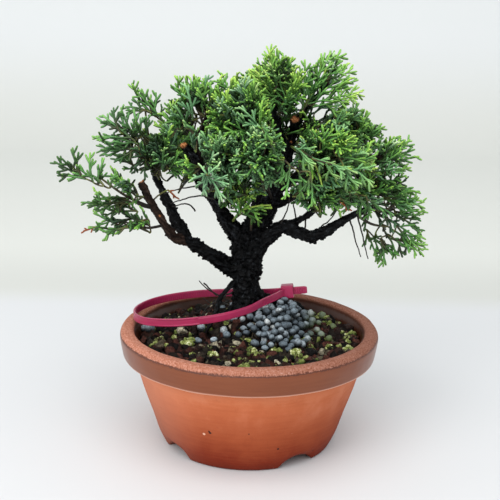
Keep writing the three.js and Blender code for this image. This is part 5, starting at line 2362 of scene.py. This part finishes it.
@dataclass
class CableTie:
    """The nylon cable tie that hangs loosely round the trunk, its tail through its head."""

    width: float = 4.6
    thickness: float = 1.2
    groove: float = 0.22
    panel: tuple[float, float] = (22, 66)  # where the smooth panel lies along the strap
    tooth_pitch: float = 1.3
    tooth: Triple = (0.7, 3, 0.55)
    rounding: float = 0.35
    head: Triple = (22.6, 24, 82.8)
    head_size: Triple = (7.4, 5.6, 8)
    slot: tuple[float, float] = (2, 5.4)
    path: Triples = (
        (20.6, 21.9, 82.5), (14.9, 14.2, 81.8), (7.2, 5.2, 80.8), (0.2, -4.1, 79.9), (-8.3, -10.7, 78.9),
        (-16.8, -14.4, 77.8), (-25.3, -16, 76.7), (-33.8, -16.4, 75.7), (-42.4, -15.4, 74.6),
        (-51.1, -12.4, 73.5), (-60.3, -7, 72.4), (-65.9, 1, 71.7), (-68.2, 9.5, 71.4), (-67, 19.2, 71.5),
        (-60.9, 28.6, 72.3), (-52.2, 34.3, 73.4), (-43.1, 36.9, 74.5), (-33.9, 37.5, 75.7),
        (-24.6, 36.7, 76.8), (-15.3, 34.3, 78), (-4, 30, 79.4), (7.3, 26.4, 80.8), (15.1, 24.7, 81.8),
        (22.6, 24, 82.8), (34.3, 22.8, 84.2)
    )

    def build(self) -> None:
        """Make the strap, its teeth and its head, and join them."""
        finish = MouldedNylon()
        line = spline(np.array(self.path), 9)
        strap = self._strap(line)
        teeth = self._teeth(line)
        head = self._head()
        for made in (strap, head):
            made.data.materials.append(finish.material())
        with bpy.context.temp_override(
            active_object=strap, object=strap, selected_editable_objects=[strap, teeth, head]
        ):
            bpy.ops.object.join()
        strap.name = "cable_tie_strap"
        finished(strap, finish, "cable_tie")

    def _frames(self, line: np.ndarray) -> tuple[np.ndarray, np.ndarray, np.ndarray]:
        """Give the strap's forward, up and outward directions.

        Args:
            line: The strap's centreline.

        Returns:
            Three arrays of unit vectors.
        """
        forward = np.gradient(line, axis=0)
        forward /= np.linalg.norm(forward, axis=1)[:, None]
        up = np.array([0.0, 0.0, 1.0]) - forward * forward[:, 2:]
        up /= np.linalg.norm(up, axis=1)[:, None]
        return forward, up, np.cross(up, forward)

    def _strap(self, line: np.ndarray) -> Object:
        """Sweep the strap's grooved section along its line.

        Args:
            line: The strap's centreline.

        Returns:
            The strap.
        """
        _, up, out = self._frames(line)
        along = lengths(line)
        tall, thin, soft = self.width / 2, self.thickness / 2, self.rounding
        points = []
        for i, centre in enumerate(line):
            ends = min(1.0, (along[-1] - along[i]) / 1.5 + 0.8)
            edge = min(along[i] - self.panel[0], self.panel[1] - along[i])
            sunk = self.groove * (1 - 1.6 * np.clip(edge, 0, 1))
            half = [
                (tall - soft, -thin), (tall - 0.1, 0.1 - thin), (tall, soft - thin), (tall, thin - soft),
                (tall - 0.1, thin - 0.1), (tall - soft, thin), (tall - 0.7, thin),
                (tall - 0.95, thin - sunk)
            ]
            other = [(-u, o) for u, o in half]
            section = [other[0], *half, *other[:0:-1]]
            points += [centre + up[i] * u * ends + out[i] * o for u, o in section]
        ring = 16
        faces = [
            (i * ring + k, i * ring + n, (i + 1) * ring + n, (i + 1) * ring + k)
            for i in range(len(line) - 1)
            for k, n in zip(range(ring), [*range(1, ring), 0])
        ]
        faces += [tuple(range(ring))[::-1], tuple(range((len(line) - 1) * ring, len(line) * ring))]
        return new_object("cable_tie_strap", np.array(points), faces=faces)

    def _teeth(self, line: np.ndarray) -> Object:
        """Set a tooth across the strap's inner face at every pitch.

        Args:
            line: The strap's centreline.

        Returns:
            The teeth.
        """
        along = lengths(line)
        at = np.arange(self.panel[1] + 6, along[-1] - 1.5, self.tooth_pitch)
        places = np.stack([np.interp(at, along, line[:, k]) for k in range(3)], axis=1)
        forward, up, out = self._frames(places)
        turns = [
            Matrix(np.column_stack([f, u, o]).tolist()).to_euler() for f, u, o in zip(forward, up, out)
        ]
        points = places - out * (self.thickness / 2 + 0.05)
        values = {
            "kind": np.zeros(len(points), np.int32), "facing": np.array(turns, float),
            "size": np.ones(len(points))
        }
        tooth = bmesh.new()
        bmesh.ops.create_cube(tooth, size=1.0)
        for vertex in tooth.verts:
            lean = 0.25 if vertex.co.z < 0 else 0.0
            x, y, z = (a * b for a, b in zip(vertex.co, self.tooth))
            vertex.co = (x + lean, y, z)
        mesh = bpy.data.meshes.new("tooth")
        tooth.to_mesh(mesh)
        tooth.free()
        folder = bpy.data.collections.new("tooth_shape")
        folder.objects.link(bpy.data.objects.new("tooth", mesh))
        made = new_object("teeth", points, values=values)
        grown(made, planting_tree(), {"Shapes": folder, "Material": MouldedNylon().material()})
        discard(folder)
        return made

    def _head(self) -> Object:
        """Make the head: a bevelled block with a window.

        Returns:
            The head.
        """
        long, deep, tall = (v / 2 for v in self.head_size)
        hole_y, hole_z = self.slot[0] / 2, self.slot[1] / 2
        points, faces = [], []
        for x in (-long, long):
            for y, z in ((deep, tall), (hole_y, hole_z)):
                points += [(x, -y, -z), (x, y, -z), (x, y, z), (x, -y, z)]
        for k in range(4):
            n = (k + 1) % 4
            faces += [(k, n, 8 + n, 8 + k), (4 + n, 4 + k, 12 + k, 12 + n)]
            faces += [(n, k, 4 + k, 4 + n), (8 + k, 8 + n, 12 + n, 12 + k)]
        made = new_object("tie_head", np.array(points), faces=faces)
        bevel = made.modifiers.new("soften", "BEVEL")
        bevel.width = 0.7
        bevel.segments = 3
        bevel.limit_method = "ANGLE"
        settled(made)
        turn = Matrix.Rotation(math.atan2(-1.2, 12), 4, "Z")
        tilt = Matrix.Rotation(-math.atan(0.125), 4, "Y")
        made.data.transform(Matrix.Translation(self.head) @ turn @ tilt)
        return made


# ---- Studio ----


@dataclass
class Studio:
    """The pale sweep under and behind the object, and the soft lights."""

    half_width: float = 2.4
    front: float = -1.6
    back: float = 1.5
    height: float = 2.4
    bend: float = 0.5
    aim: Triple = (0, 0, 0.11)
    sky: str = "#eef1f3"
    sky_strength: float = 0.95

    def build(self) -> None:
        """Lay the paper and hang the lights."""
        self._paper()
        self._light("top_softbox", (-0.08, -0.75, 1.25), (1.7, 1.4), 16.0)
        self._light("front_softbox", (-1, -1.1, 0.8), (0.9, 0.9), 6.0)
        self._light("low_softbox", (-0.6, -1.4, 0.18), (1.4, 0.3), 4.0)
        world = bpy.data.worlds.new("studio")
        world.use_nodes = True
        sky = world.node_tree.nodes["Background"]
        sky.inputs["Color"].default_value = linear(self.sky)
        sky.inputs["Strength"].default_value = self.sky_strength
        bpy.context.scene.world = world
        bpy.context.scene.view_settings.view_transform = "Standard"

    def _paper(self) -> None:
        """Make the floor and the wall behind it one curved sheet."""
        arc = [
            (self.back - self.bend + self.bend * math.sin(a), self.bend - self.bend * math.cos(a))
            for a in np.linspace(0, math.pi / 2, 24)
        ]
        section = [(self.front, 0), (-0.4, 0), (0.4, 0), *arc, (self.back, self.height)]
        points = [(x, y, z) for y, z in section for x in (-self.half_width, self.half_width)]
        faces = [(2 * i, 2 * i + 1, 2 * i + 3, 2 * i + 2) for i in range(len(section) - 1)]
        paper = new_object("paper_sweep", np.array(points), faces=faces)
        paper.data.materials.append(StudioPaper().material())
        paper.data.polygons.foreach_set("use_smooth", [True] * len(faces))

    def _light(self, name: str, place: Triple, size: tuple[float, float], power: float) -> None:
        """Hang one soft light that faces the tree.

        Args:
            name: The light's name.
            place: Where it hangs, in metres.
            size: Its width and height in metres.
            power: Its power in watts.
        """
        data = bpy.data.lights.new(name, "AREA")
        data.shape = "RECTANGLE"
        data.size, data.size_y = size
        data.energy = power
        made = linked(name, data)
        made.location = place
        made.rotation_mode = "QUATERNION"
        made.rotation_quaternion = (Vector(self.aim) - Vector(place)).to_track_quat("-Z", "Y")


def main() -> None:
    """Build every piece."""
    logging.basicConfig(level=logging.INFO, format="%(message)s")
    CAMERA.build()
    Pot().build()
    SoilBed().build()
    PrillHeap().build()
    MossTufts().build()
    Wood().build()
    CableTie().build()
    Foliage().build()
    Studio().build()
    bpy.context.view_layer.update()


if __name__ == "__main__":
    main()
